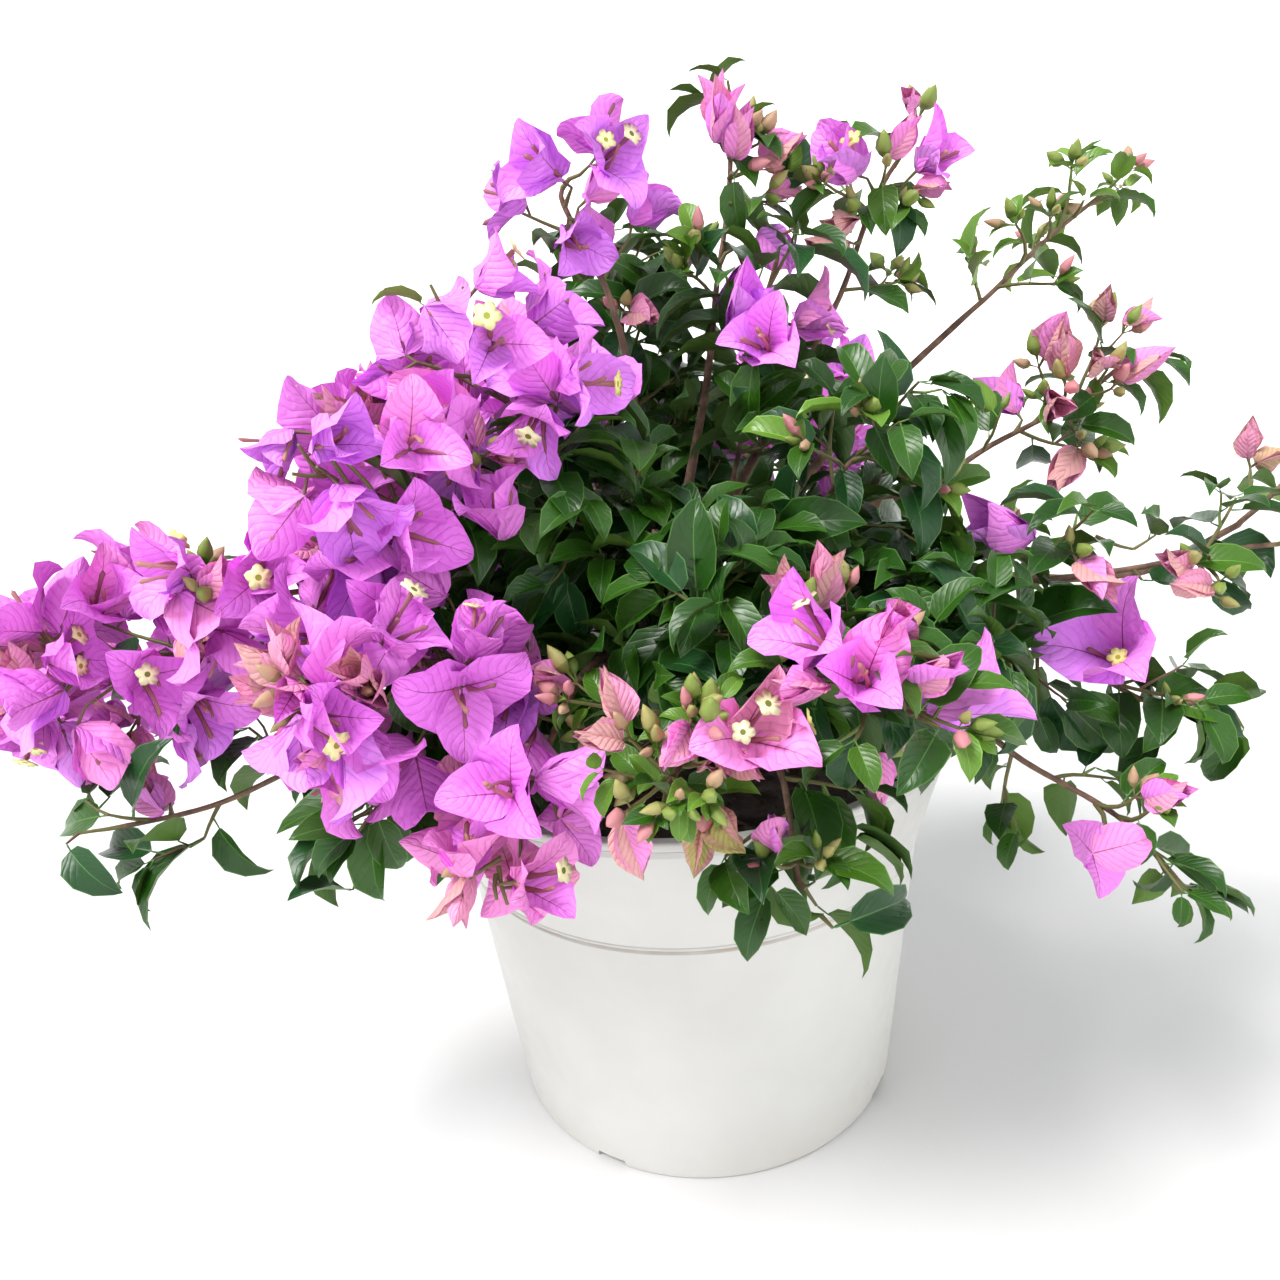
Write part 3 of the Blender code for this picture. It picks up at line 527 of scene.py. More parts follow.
def reach_to_edge(mass, start, way):
    """Distance from the start along the way to the edge of the mass's ellipsoid."""
    step, distance = 0.002, 0.0
    while in_ellipsoid(mass, start + (distance + step) * way, spill_of(mass) / SPILL):
        distance += step
    return distance


def square_to(way, wish):
    """The part of a wished direction that is square to the way, as a unit vector."""
    rest = wish - wish.dot(way) * way
    return (rest if rest.length >= 0.05 else sideways(way, 0.0)).normalized()


def facing(along, face):
    """A blade's turn: +Y along it and +Z out of its upper face."""
    return Matrix((along.cross(face), along, face)).transposed()


def scatter_by(rng, amount):
    return Vector([rng.uniform(-amount, amount) for _ in range(3)])


def search_tree(paths):
    """A search tree of points close together along the paths."""
    spots = [start.lerp(end, share) for path in paths for start, end in zip(path, path[1:])
             for share in (0.0, 0.25, 0.5, 0.75)]
    tree = KDTree(len(spots))
    for number, spot in enumerate(spots):
        tree.insert(spot, number)
    tree.balance()
    return tree


Placement = namedtuple("Placement", "place turn size shape tint")
Limb = namedtuple("Limb", "points radii tint")
BladeSizes = namedtuple("BladeSizes", "bract tube bud")


class Crowd:
    """Keeps the middles of blades and flowers apart."""
    CELL = 0.025

    def __init__(self):
        self.cells = {}

    def key(self, point, step=(0, 0, 0)):
        return tuple(math.floor(value / self.CELL) + more for value, more in zip(point, step))

    def is_free(self, point, room):
        return all((other - point).length >= room + taken
                   for step in product((-1, 0, 1), repeat=3)
                   for other, taken in self.cells.get(self.key(point, step), ()))

    def take(self, point, room):
        self.cells.setdefault(self.key(point), []).append((point, room))


class Plant:
    """Everything that grows, as limbs and placements of each kind."""

    def __init__(self, sizes):
        self.sizes = sizes
        self.canes, self.twigs = [], []
        self.leaves, self.bracts, self.tubes, self.buds = [], [], [], []
        self.crowd = Crowd()
        self.rng = random.Random(PLANT_SEED)

    def grow(self):
        """Canes and stems first, then the sprays, the masses and the leaves along the canes."""
        dice = [random.Random(MASS_SEED + number) for number in range(len(MASSES))]
        routes = {mass.name: route_of(mass, way) for mass, way in zip(MASSES, stub_directions())}
        stems = {mass.name: stem_points(mass, rng) for mass, rng in zip(MASSES, dice)}
        for name in routes:
            points = routes[name] + stems[name][1:]
            self.canes.append(Limb(points, taper(CANE_RADIUS, STEM_TIP_RADIUS, len(points)), 0))
        self.wood = search_tree([cane.points[1:] for cane in self.canes])
        bare = []
        for name, sprays in SPRAYS.items():
            stem = routes[name][SPRAYS_FROM:] + stems[name][1:]
            bare += [self.grow_spray(MASS_CALLED[name], stem, ending, Vector(place) / 1000)
                     for ending, *place in sprays]
        for twig in bare:
            self.clothe_spray(*twig)
        for mass, rng in zip(MASSES, dice):
            self.rng = rng
            self.grow_mass(mass, stems[mass.name])
        for mass, rng in zip(MASSES, dice):
            self.rng = rng
            self.clothe_cane(routes[mass.name])

    def grow_spray(self, mass, stem, ending, spot):
        """A twig from the mass's stem out to the spray's own place; returns how it is clothed."""
        near = [other for other in MASSES if (centre_of(other) - spot).length < SPRAY_REACH]
        hosts = [mass, *near]
        out = (spot - centre_of(mass)).normalized()
        length = BEARINGS[ending].length if ending in BEARINGS else 0.6
        spot = spot - (SPRAY_INSET + 0.5 * self.sizes.bract * length) * out
        places = [along_path(stem, number / ROOT_PLACES) for number in range(ROOT_PLACES + 1)]
        root = min(places, key=lambda place: (place - spot).length + 0.3 * (place - stem[0]).length)
        stretch = (spot - root).length
        start_pull = root + 0.3 * stretch * (stem[-1] - stem[0]).normalized()
        end_pull = spot - 0.3 * stretch * (out + 0.4 * UP).normalized()
        points = [bezier(root, start_pull, end_pull, spot, number / (SPRAY_POINTS - 1))
                  for number in range(SPRAY_POINTS)]
        self.twigs.append(Limb(points, taper(1.25 * TWIG_RADIUS, TWIG_TIP_RADIUS, SPRAY_POINTS), 1))
        turn = self.rng.uniform(0.0, math.tau)
        habit = HABITS[mass.kind]
        self.bear(hosts, habit, spot, (points[-1] - points[-2]).normalized(), turn, ending)
        return hosts, habit, points, stretch, turn

    def clothe_spray(self, hosts, habit, points, stretch, turn):
        """Leaves along a spray's twig."""
        for number in range(int(habit.leafy * stretch / SPRAY_STEP)):
            turn += GOLDEN_ANGLE
            share = min(1.0, (number + 0.8) * SPRAY_STEP / stretch)
            way = along_path(points, min(1.0, share + 0.05)) - along_path(points, share - 0.05)
            size = habit.leaf * self.rng.uniform(0.6, 0.9)
            self.add_leaf(hosts, habit.tints, along_path(points, share), way.normalized(), turn, size)

    def grow_mass(self, mass, stem):
        """Twigs that alternate round the stem by the golden angle, and one at its tip."""
        habit, axis = HABITS[mass.kind], axis_of(mass)
        count = max(3, round(mass.fill * habit.twigs * mass.spread / USUAL_SPREAD))
        first_turn = self.rng.uniform(0.0, math.tau)
        for number in reversed(range(count)):
            share = (number + 0.6) / count
            root = along_path(stem, 0.05 + 0.95 * share)
            lean = LOWEST_LEAN + (TOP_LEAN - LOWEST_LEAN) * share
            across = sideways(axis, first_turn + number * GOLDEN_ANGLE)
            way = (math.cos(lean) * axis + math.sin(lean) * across).normalized()
            length = habit.reach * self.rng.uniform(0.85, 1.12) * reach_to_edge(mass, root, way)
            if length > SHORTEST_TWIG:
                self.grow_twig(mass, root, way, length, 0)
        end_way = (stem[-1] - stem[-2]).normalized()
        length = habit.reach * reach_to_edge(mass, stem[-1], end_way)
        if not self.grow_twig(mass, stem[-1], end_way, max(length, SHORTEST_TWIG), 0):
            bare = self.canes[MASSES.index(mass)].points
            bare[-1] = bare[-2].lerp(bare[-1], 0.25)

    def grow_twig(self, mass, root, way, length, order):
        """A twig that kinks at its nodes, its leaves, its side twigs and what ends it."""
        points, way = self.twig_path(mass, root, way, length)
        if not all(outside_pot(point) for point in points[1:]):
            return False
        shrink = 1.0 - 0.25 * order
        twig = Limb(points, taper(TWIG_RADIUS * shrink, TWIG_TIP_RADIUS * shrink, TWIG_POINTS),
                    self.rng.choice((0, 1, 1, 2)) if order else 1)
        self.twigs.append(twig)
        borne = self.borne()
        turn, last = self.clothe_twig(mass, points, way, length, order)
        in_full = self.borne()
        self.end_twig(mass, points[-1], way, turn)
        if self.borne() == in_full:
            cut_short(points, last)
        if self.borne() == borne:
            self.twigs.remove(twig)
        return self.borne() > borne

    def twig_path(self, mass, root, way, length):
        """A twig's points, with a kink at each, and the way it ends in."""
        points, lift = [root], (TWIG_LIFT if mass.rise > -20 else HANGING_LIFT) * UP / TWIG_POINTS
        for _ in range(1, TWIG_POINTS):
            way = (way + lift + scatter_by(self.rng, TWIG_SWAY)).normalized()
            points.append(points[-1] + way * length / (TWIG_POINTS - 1))
        return points, way

    def clothe_twig(self, mass, points, way, length, order):
        """Leaves and side twigs along a twig; returns the last turn and the share that bears."""
        rng, habit = self.rng, HABITS[mass.kind]
        turn, last = rng.uniform(0.0, math.tau), 0.0
        for number in range(int(habit.leafy * length / habit.step)):
            share = (number + 0.7) * habit.step / length
            turn += GOLDEN_ANGLE
            spot = along_path(points, min(share, 1.0))
            size = habit.leaf * rng.uniform(0.78, 1.12) * (1.0 - 0.25 * share)
            if self.add_leaf([mass], habit.tints, spot, way, turn, size):
                last = min(share, 1.0)
            if order == 0 and number % 2 == 1 and mass.kind != "bloom":
                out = (0.6 * way + 0.8 * sideways(way, turn + 0.6)).normalized()
                side_length = min(LONGEST_SIDE_TWIG, 0.5 * reach_to_edge(mass, spot, out),
                                  0.012 + 0.5 * length * (1.0 - share))
                if (side_length > SHORTEST_SIDE_TWIG
                        and self.grow_twig(mass, spot, out, side_length, 1)):
                    last = min(share, 1.0)
        return turn, last

    def end_twig(self, mass, tip, way, turn):
        """What ends a twig, twice over in a mass of blossom."""
        habit = HABITS[mass.kind]
        ending = self.rng.choices(list(habit.tips), list(habit.tips.values()))[0]
        self.bear([mass], habit, tip, way, turn, ending)
        if mass.kind == "bloom":
            side = (way + 0.9 * sideways(way, turn + 1.0)).normalized()
            self.bear([mass], habit, tip - 0.006 * way, side, turn + 2.0, ending)

    def borne(self):
        return len(self.leaves) + len(self.bracts) + len(self.buds)

    def bear(self, hosts, habit, tip, way, turn, ending):
        """What ends a twig: flowers on stalks that part, buds or young leaves."""
        if ending == "open" and tip.z < PINK_BELOW:
            ending = "pinks"
        if ending == "open" and tip.z > LILAC_ABOVE:
            ending = "lilac"
        if ending in BEARINGS:
            bearing = BEARINGS[ending]
            for number in range(bearing.flowers):
                side = leaning(way, turn + number * math.tau / bearing.flowers, STALK_LEAN)
                self.add_flower(hosts, tip, side, bearing)
            if bearing.most < CLOSED_UNDER:
                self.add_buds(hosts, tip, way, turn + 1.0, 2)
        elif ending == "buds":
            self.add_buds(hosts, tip, way, turn, 4)
            self.add_rosette(hosts, habit, tip, way, turn, 3, ROSETTE_TINTS)
        else:
            self.add_rosette(hosts, habit, tip, way, turn, 2, habit.tints[-3:])

    def add_rosette(self, hosts, habit, tip, way, turn, count, tints):
        """The small young leaves at a shoot's tip."""
        for number in range(count):
            size = (0.62 - 0.12 * number) * habit.leaf
            self.add_leaf(hosts, tints, tip, way, turn + number * GOLDEN_ANGLE, size,
                          tilt=48.0 - 9.0 * number, room=0.4)

    def fits(self, hosts, points):
        """Whether every point is in a host's space and clear of the pot and the open spaces."""
        return all(outside_pot(point)
                   and any(in_ellipsoid(mass, point, spill_of(mass)) for mass in hosts)
                   and all((point - centre).length > radius for centre, radius in OPEN_SPACES)
                   for point in points)

    def takes(self, spots, room):
        """Whether there is room round all the spots, which is then taken."""
        if not all(self.wood.find(spot)[2] > LIMB_ROOM and self.crowd.is_free(spot, room)
                   for spot in spots):
            return False
        for spot in spots:
            self.crowd.take(spot, room)
        return True

    def add_leaf(self, hosts, tints, root, way, turn, size, tilt=None, room=1.0):
        """One leaf that turns its face up and out; with no room it is turned or left out."""
        rng = self.rng
        tilt = tilt if tilt is not None else rng.uniform(*LEAF_TILT)
        outward = (root - centre_of(hosts[0])).normalized()
        wish = UP + 0.55 * outward + scatter_by(rng, LEAF_SWAY)
        shape, tint = rng.randrange(len(LEAF_FORMS)), rng.choice(tints)
        for more_turn in LEAF_TURNS:
            along = (leaning(way, turn + more_turn, tilt) - LEAF_DROOP * UP).normalized()
            face = square_to(along, wish)
            tip = root + LEAF_TIP * size * along
            middle = root + LEAF_WIDEST * size * along
            edge = LEAF_HALF_WIDTH * size * along.cross(face)
            spots = [root + share * size * along for share in LEAF_SPOTS]
            if (self.fits(hosts, (tip, middle + edge, middle - edge))
                    and self.takes(spots, room * LEAF_ROOM * size)):
                self.leaves.append(Placement(root, facing(along, face), size, shape, tint))
                return True
        return False

    def add_flower(self, hosts, tip, out, bearing):
        """Three bracts round three tubes; a flower with no room is shrunk or left out."""
        rng = self.rng
        spread = rng.uniform(bearing.least, bearing.most)
        closed = spread < CLOSED_UNDER
        outward = (tip - centre_of(hosts[0])).normalized()
        wish = 0.55 * out + 0.50 * outward + 0.10 * UP
        base = tip + (CLOSED_STALK if closed else rng.uniform(*STALK_LENGTHS)) * out
        full = self.sizes.bract * bearing.length * rng.uniform(0.88, 1.10)
        found = self.room_for_flower(hosts, base, wish, spread, full)
        if found is None:
            return
        axis, turn, length = found
        self.twigs.append(Limb([tip, tip.lerp(base, 0.5), base + 0.001 * axis],
                               [STALK_RADIUS * share for share in (1.1, 1.0, 1.6)],
                               rng.choice((0, 1))))
        family = rng.choice(bearing.families)
        shapes = (OPEN_SHAPES, len(BRACT_FORMS)) if closed else (0, OPEN_SHAPES)
        for number in range(3):
            angle = turn + number * THIRD + rng.uniform(-0.15, 0.15)
            open_by = spread * rng.uniform(0.85, 1.15)
            along = leaning(axis, angle, open_by)
            self.bracts.append(Placement(base, facing(along, square_to(along, axis)),
                                         length * rng.uniform(0.92, 1.06), rng.randrange(*shapes),
                                         family[number]))
            if not closed:
                self.add_tube(base, axis, angle, open_by)

    def room_for_flower(self, hosts, base, wish, spread, full):
        """The axis, turn and length with which a flower has room, or None after so many tries."""
        closed = spread < CLOSED_UNDER
        for number in range(FLOWER_TRIES):
            sway = FLOWER_SWAY + FLOWER_MORE_SWAY * number
            axis = (wish + scatter_by(self.rng, sway)).normalized()
            turn = self.rng.uniform(0.0, THIRD)
            length = (1.0 - FLOWER_SHRINK * number) * full
            ways = [leaning(axis, turn + n * THIRD, 0.9 * spread) for n in range(3)]
            spots = [base + 0.25 * length * axis]
            if not closed:
                spots += [base + 0.6 * length * way for way in ways]
            if (self.fits(hosts, [base + length * way for way in ways])
                    and self.takes(spots, FLOWER_ROOM * (0.7 if closed else 1.0))):
                return axis, turn, length
        return None

    def add_tube(self, base, axis, angle, open_by):
        """A tube that stands in a flower, off the foot of one bract."""
        rng = self.rng
        along = leaning(axis, angle, min(0.35 * open_by, rng.uniform(*TUBE_LEAN)))
        foot = base + 0.0022 * leaning(axis, angle, 70.0) + 0.001 * axis
        face = square_to(along, leaning(axis, angle, 90.0))
        shape = rng.choices(range(len(TUBE_SHAPES)), TUBE_SHARES)[0]
        size = self.sizes.tube * rng.uniform(0.82, 1.10)
        self.tubes.append(Placement(foot, facing(along, face), size, shape, rng.randrange(3)))

    def add_buds(self, hosts, tip, way, turn, count):
        """Pointed buds on their own stalks, the first one the largest."""
        rng = self.rng
        for number in range(count):
            lean = TOP_BUD_LEAN if number == 0 else rng.uniform(*BUD_LEAN)
            side = sideways(way, turn + number * GOLDEN_ANGLE)
            along = (leaning(way, turn + number * GOLDEN_ANGLE, lean) + 0.25 * UP).normalized()
            size = self.sizes.bud * rng.uniform(0.75, 1.05) * (1.0 - 0.11 * number)
            end = tip + BUD_REACH * size * along
            if self.fits(hosts, (end,)) and self.crowd.is_free(end, BUD_ROOM):
                self.crowd.take(end, BUD_ROOM)
                shape, tint = rng.randrange(len(BUD_SHAPES)), rng.choice(BUD_MIX)
                turned_up = facing(along, square_to(along, side))
                self.buds.append(Placement(tip, turned_up, size, shape, tint))

    def clothe_cane(self, route):
        """Leaves along the outer part of a cane, wherever it runs through a mass's space."""
        habit = HABITS["leaf"]
        turn = self.rng.uniform(0.0, math.tau)
        for number in range(CANE_LEAVES):
            share = CANE_LEAVES_FROM + CANE_LEAF_STEP * number
            spot, after = along_path(route, share), along_path(route, share + 0.02)
            turn += GOLDEN_ANGLE
            hosts = [mass for mass in MASSES if in_ellipsoid(mass, spot)]
            if hosts and self.rng.random() > CANE_LEAF_MISSES:
                size = habit.leaf * self.rng.uniform(0.7, 1.05)
                self.add_leaf(hosts, habit.tints, spot, (after - spot).normalized(), turn, size)


@cache
def plant_of(sizes):
    """The plant that grows with these sizes of its blades."""
    plant = Plant(sizes)
    plant.grow()
    return plant


def grown_plant():
    """The plant, which the operators share as long as its sizes stay."""
    sizes = settings("blades")
    return plant_of(BladeSizes(sizes.bract, sizes.tube, sizes.bud))


# ---------------------------------------------------------------- small makers

def link_object(name, data):
    thing = bpy.data.objects.new(name, data)
    bpy.context.scene.collection.objects.link(thing)
    return thing


def object_from_bmesh(name, bm):
    mesh = bpy.data.meshes.new(name)
    bm.to_mesh(mesh)
    bm.free()
    mesh.shade_smooth()
    return link_object(name, mesh)


def plain_mesh(thing):
    """Turn an object's evaluated shape into its own plain mesh, with no modifier left."""
    bpy.context.view_layer.update()
    depsgraph = bpy.context.evaluated_depsgraph_get()
    old = thing.data
    thing.data = bpy.data.meshes.new_from_object(thing.evaluated_get(depsgraph))
    thing.modifiers.clear()
    bpy.data.meshes.remove(old)
    thing.data.name = thing.name
    worn = {polygon.material_index for polygon in thing.data.polygons}
    for number in reversed(range(len(thing.data.materials))):
        if number not in worn:
            thing.data.materials.pop(index=number)
    return thing


def modify(thing, name, kind, **values):
    """Add a modifier with its settings."""
    modifier = thing.modifiers.new(name, kind)
    for label, value in values.items():
        setattr(modifier, label, value)


def remove_all(things):
    for thing in things:
        bpy.data.objects.remove(thing, do_unlink=True)


def paint(thing, material):
    thing.data.materials.clear()
    thing.data.materials.append(material)


def dress(piece, slot, *nodes):
    """Hand a finished piece to the frame."""
    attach(piece, "root")
    if nodes:
        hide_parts(*nodes)


# ---------------------------------------------------------------- materials

class Wiring:
    """Short ways to add and link the nodes of one tree."""

    def __init__(self, tree):
        self.tree = tree

    def put(self, value, socket):
        """Link a socket to a node or an output, or set it."""
        if isinstance(value, bpy.types.Node):
            value = value.outputs[0]
        if isinstance(value, bpy.types.NodeSocket):
            self.tree.links.new(value, socket)
        else:
            socket.default_value = value

    def node(self, kind, **values):
        """Add a node: a small letter begins a setting of its own, a capital one of its inputs."""
        node = self.tree.nodes.new(kind)
        for label, value in values.items():
            if label[0].islower():
                setattr(node, label, value)
            else:
                self.put(value, node.inputs[label.replace("_", " ")])
        return node

    def fill(self, node, *values):
        """Give a node's inputs in their order."""
        for socket, value in zip(node.inputs, values):
            self.put(value, socket)
        return node.outputs[0]

    def maths(self, operation, *values):
        return self.fill(self.node("ShaderNodeMath", operation=operation), *values)

    def noise(self, scale, detail=4.0, roughness=0.55, stretch=(1.0, 1.0, 1.0)):
        mapping = self.node("ShaderNodeMapping", Scale=stretch, Vector=self.place())
        return self.node("ShaderNodeTexNoise", Vector=mapping, Scale=scale, Detail=detail,
                         Roughness=roughness).outputs["Fac"]

    def place(self):
        return self.node("ShaderNodeTexCoord").outputs["Object"]

    def spread(self, source, low, high, start=0.3, end=0.7):
        return self.node("ShaderNodeMapRange", Value=source, From_Min=start, From_Max=end,
                         To_Min=low, To_Max=high)

    def blend(self, share, first, second):
        node = self.node("ShaderNodeMix", data_type="RGBA")
        for number, value in ((0, share), (6, first), (7, second)):
            self.put((*value, 1.0) if isinstance(value, tuple) else value, node.inputs[number])
        return node.outputs[2]


class Finish(Wiring):
    """A Principled material with what feeds it."""

    def __init__(self, name, colour, roughness):
        self.material = bpy.data.materials.new(name)
        self.material.use_nodes = True
        super().__init__(self.material.node_tree)
        self.inputs = self.tree.nodes["Principled BSDF"].inputs
        self.inputs["Base Color"].default_value = (*colour, 1.0)
        self.inputs["Roughness"].default_value = roughness

    def finish(self, **values):
        for label, value in values.items():
            self.put(value, self.inputs[label.replace("_", " ")])
        return self.material

    def bump(self, height, strength, distance):
        return self.node("ShaderNodeBump", Height=height, Strength=strength,
                         Distance=distance).outputs["Normal"]


def veins(finish):
    """Height of a blade's side veins, from its own map: x runs along it and y across."""
    axes = finish.node("ShaderNodeSeparateXYZ",
                       Vector=finish.node("ShaderNodeUVMap", uv_map="blade")).outputs
    off = finish.maths("ABSOLUTE", finish.maths("SUBTRACT", axes[1], 0.5))
    run = finish.maths("SUBTRACT", axes[0], finish.maths("MULTIPLY", off, VEIN_SLANT))
    wave = finish.maths("COSINE", finish.maths("MULTIPLY", run, math.tau * VEIN_PAIRS))
    return finish.maths("POWER", finish.maths("ABSOLUTE", wave), 0.35)


def blade_material(zone, number, tint):
    """A leaf or bract: one plain colour, veins in relief and an uneven shine."""
    colour = [value * share + lift for value, share, lift in zip(tint, zone.share, zone.lift)]
    finish = Finish(f"{zone.name}_{number}", colour, zone.roughness)
    noise = finish.noise(zone.grain, 2.0)
    height = finish.maths("ADD", finish.maths("MULTIPLY", veins(finish), 0.35), noise)
    shine = finish.spread(noise, zone.roughness - 0.08, zone.roughness + 0.10)
    return finish.finish(Normal=finish.bump(height, 0.7, zone.relief), Roughness=shine,
                         Specular_IOR_Level=zone.gloss)


def blade_bank(zones, tints):
    return [[blade_material(zone, number, tint) for number, tint in enumerate(tints)]
            for zone in zones]


def grained_bank(zones, roughness, grain, relief):
    """Plain colours with a fine uneven surface."""
    return [[grained_material(f"{zone}_{number}", tint, roughness, grain, relief)
             for number, tint in enumerate(tints)] for zone, tints in zones.items()]


def grained_material(name, colour, roughness, grain, relief):
    finish = Finish(name, colour, roughness)
    noise = finish.noise(grain)
    return finish.finish(Normal=finish.bump(noise, 0.7, relief),
                         Roughness=finish.spread(noise, roughness - 0.12, roughness + 0.15))


def bark_material(name, dark, light, grain, relief):
    """Bark: two browns in blotches and long cracks."""
    finish = Finish(name, dark, 0.8)
    crack = finish.noise(2.6 * grain, 6.0, 0.65, (1.0, 1.0, 0.35))
    blotch = finish.maths("MULTIPLY", finish.noise(grain, 5.0), finish.maths("ADD", crack, 0.5))
    share = finish.spread(blotch, 0.0, 1.0, 0.35, 0.68)
    return finish.finish(Base_Color=finish.blend(share, dark, light),
                         Roughness=finish.spread(crack, 0.62, 0.92),
                         Normal=finish.bump(crack, 0.9, relief))


def pot_material(colour):
    """Matt white plastic, a little uneven, with dust caught in its groove and a darker, yellower tone
    towards its foot.
    """
    finish = Finish("pot_plastic", colour, 0.42)
    cloud = finish.spread(finish.noise(14.0, 3.0), 0.0, 1.0, 0.35, 0.65)
    tone = finish.blend(cloud, colour, tuple(0.93 * value for value in colour))
    height = finish.node("ShaderNodeSeparateXYZ", Vector=finish.place()).outputs[2]
    off = finish.maths("ABSOLUTE", finish.maths("SUBTRACT", height, GROOVE_HEIGHT))
    dust = finish.maths("MULTIPLY", finish.spread(off, DUST_SHARE, 0.0, 0.0004, 0.0016),
                        finish.spread(finish.noise(45.0, 3.0), 0.25, 1.0))
    tone = finish.blend(dust, tone, DUST)
    # the wall turns darker and yellower towards the foot, in cloudy patches
    low = finish.maths("MULTIPLY", finish.spread(height, FOOT_TONE_SHARE, 0.0, 0.0, FOOT_TONE_HEIGHT), cloud)
    return finish.finish(Base_Color=finish.blend(low, tone, FOOT_TONE),
                         Roughness=finish.spread(finish.noise(120.0, 3.0), 0.36, 0.50),
                         Normal=finish.bump(finish.noise(520.0, 2.0), 0.12, 0.0002))


def paper_material(colour):
    """Matt paper, whiter far from the plant so that the backdrop stays as bright as the floor."""
    finish = Finish("stage_paper", colour, 0.9)
    reach = finish.node("ShaderNodeVectorMath", operation="LENGTH", Vector=finish.place())
    far = finish.spread(reach.outputs["Value"], 0.0, 1.0, 0.7, 2.2)
    return finish.finish(Base_Color=finish.blend(far, colour, (0.98, 0.98, 0.98)))


# ---------------------------------------------------------------- Geometry Nodes

SOCKET_OF = {int: "NodeSocketInt", float: "NodeSocketFloat", type(None): "NodeSocketCollection"}


class Tree(Wiring):
    """A geometry tree with named inputs, that ends in its materials."""

    def __init__(self, name, **inputs):
        super().__init__(bpy.data.node_groups.new(name, "GeometryNodeTree"))
        sockets = self.tree.interface
        sockets.new_socket("Geometry", in_out="INPUT", socket_type="NodeSocketGeometry")
        for label, default in inputs.items():
            socket = sockets.new_socket(label, in_out="INPUT", socket_type=SOCKET_OF[type(default)])
            if default is not None:
                socket.default_value = default
        sockets.new_socket("Geometry", in_out="OUTPUT", socket_type="NodeSocketGeometry")
        self.given = self.node("NodeGroupInput").outputs

    def named(self, name, data_type):
        return self.node("GeometryNodeInputNamedAttribute", data_type=data_type, Name=name)

    def equals(self, name, number):
        node = self.node("FunctionNodeCompare", data_type="INT", operation="EQUAL")
        self.put(self.named(name, "INT"), node.inputs[2])
        self.put(number, node.inputs[3])
        return node

    def finish(self, geometry, bank):
        """Real faces, in a material for each zone of the shape and tint of the spray."""
        geometry = self.node("GeometryNodeRealizeInstances", Geometry=geometry)
        for zone, materials in enumerate(bank):
            for tint, material in enumerate(materials):
                chosen = self.fill(self.node("FunctionNodeBooleanMath", operation="AND"),
                                   self.equals("zone", zone), self.equals("tint", tint))
                geometry = self.node("GeometryNodeSetMaterial", Geometry=geometry,
                                     Selection=chosen, Material=material)
        self.put(geometry, self.node("NodeGroupOutput").inputs[0])
        return self.tree


def scatter_tree(name, bank):
    """Sets one shape on each point, turned and sized as the point says."""
    tree = Tree(name, Shapes=None, Size=1.0)
    shapes = tree.node("GeometryNodeCollectionInfo", Collection=tree.given["Shapes"],
                       Separate_Children=True, Reset_Children=True)
    scale = tree.maths("MULTIPLY", tree.named("size", "FLOAT"), tree.given["Size"])
    scatter = tree.node("GeometryNodeInstanceOnPoints", Points=tree.given["Geometry"],
                        Instance=shapes, Pick_Instance=True, Scale=scale,
                        Instance_Index=tree.named("shape", "INT"),
                        Rotation=tree.named("turn", "FLOAT_VECTOR"))
    return tree.finish(scatter, bank)


def limb_tree(name, materials):
    """Sweeps a round section along each path, with ridges of bark on it."""
    tree = Tree(name, Sides=8, Ring=0.003, Relief=0.0, Grain=260.0)
    curve = tree.node("GeometryNodeMeshToCurve", Mesh=tree.given["Geometry"])
    smooth = tree.node("GeometryNodeCurveSplineType", spline_type="CATMULL_ROM", Curve=curve)
    even = tree.node("GeometryNodeResampleCurve", mode="LENGTH", Curve=smooth,
                     Length=tree.given["Ring"])
    section = tree.node("GeometryNodeCurvePrimitiveCircle", mode="RADIUS", Radius=1.0,
                        Resolution=tree.given["Sides"])
    sweep = tree.node("GeometryNodeCurveToMesh", Curve=even, Profile_Curve=section,
                      Scale=tree.named("girth", "FLOAT"), Fill_Caps=True)
    noise = tree.node("ShaderNodeTexNoise", Scale=tree.given["Grain"], Detail=3.0, Roughness=0.6)
    ridge = tree.maths("MULTIPLY", tree.maths("SUBTRACT", noise.outputs["Fac"], 0.5),
                       tree.given["Relief"])
    push = tree.node("ShaderNodeVectorMath", operation="SCALE", Scale=ridge,
                     Vector=tree.node("GeometryNodeInputNormal"))
    rough = tree.node("GeometryNodeSetPosition", Geometry=sweep, Offset=push)
    soft = tree.node("GeometryNodeSetShadeSmooth", Geometry=rough, Shade_Smooth=True)
    return tree.finish(soft, [materials])


def run_tree(name, mesh, tree, **values):
    """The tree's result on a mesh, as a plain object; values are set by input label."""
    thing = link_object(name, mesh)
    modifier = thing.modifiers.new(name, "NODES")
    modifier.node_group = tree
    for socket in tree.interface.items_tree:
        if socket.in_out == "INPUT" and socket.name in values:
            modifier[socket.identifier] = values[socket.name]
    return plain_mesh(thing)


def give(mesh, name, kind, values, field="value"):
    """Store a value for each of a mesh's points."""
    mesh.attributes.new(name, kind, "POINT").data.foreach_set(field, values)


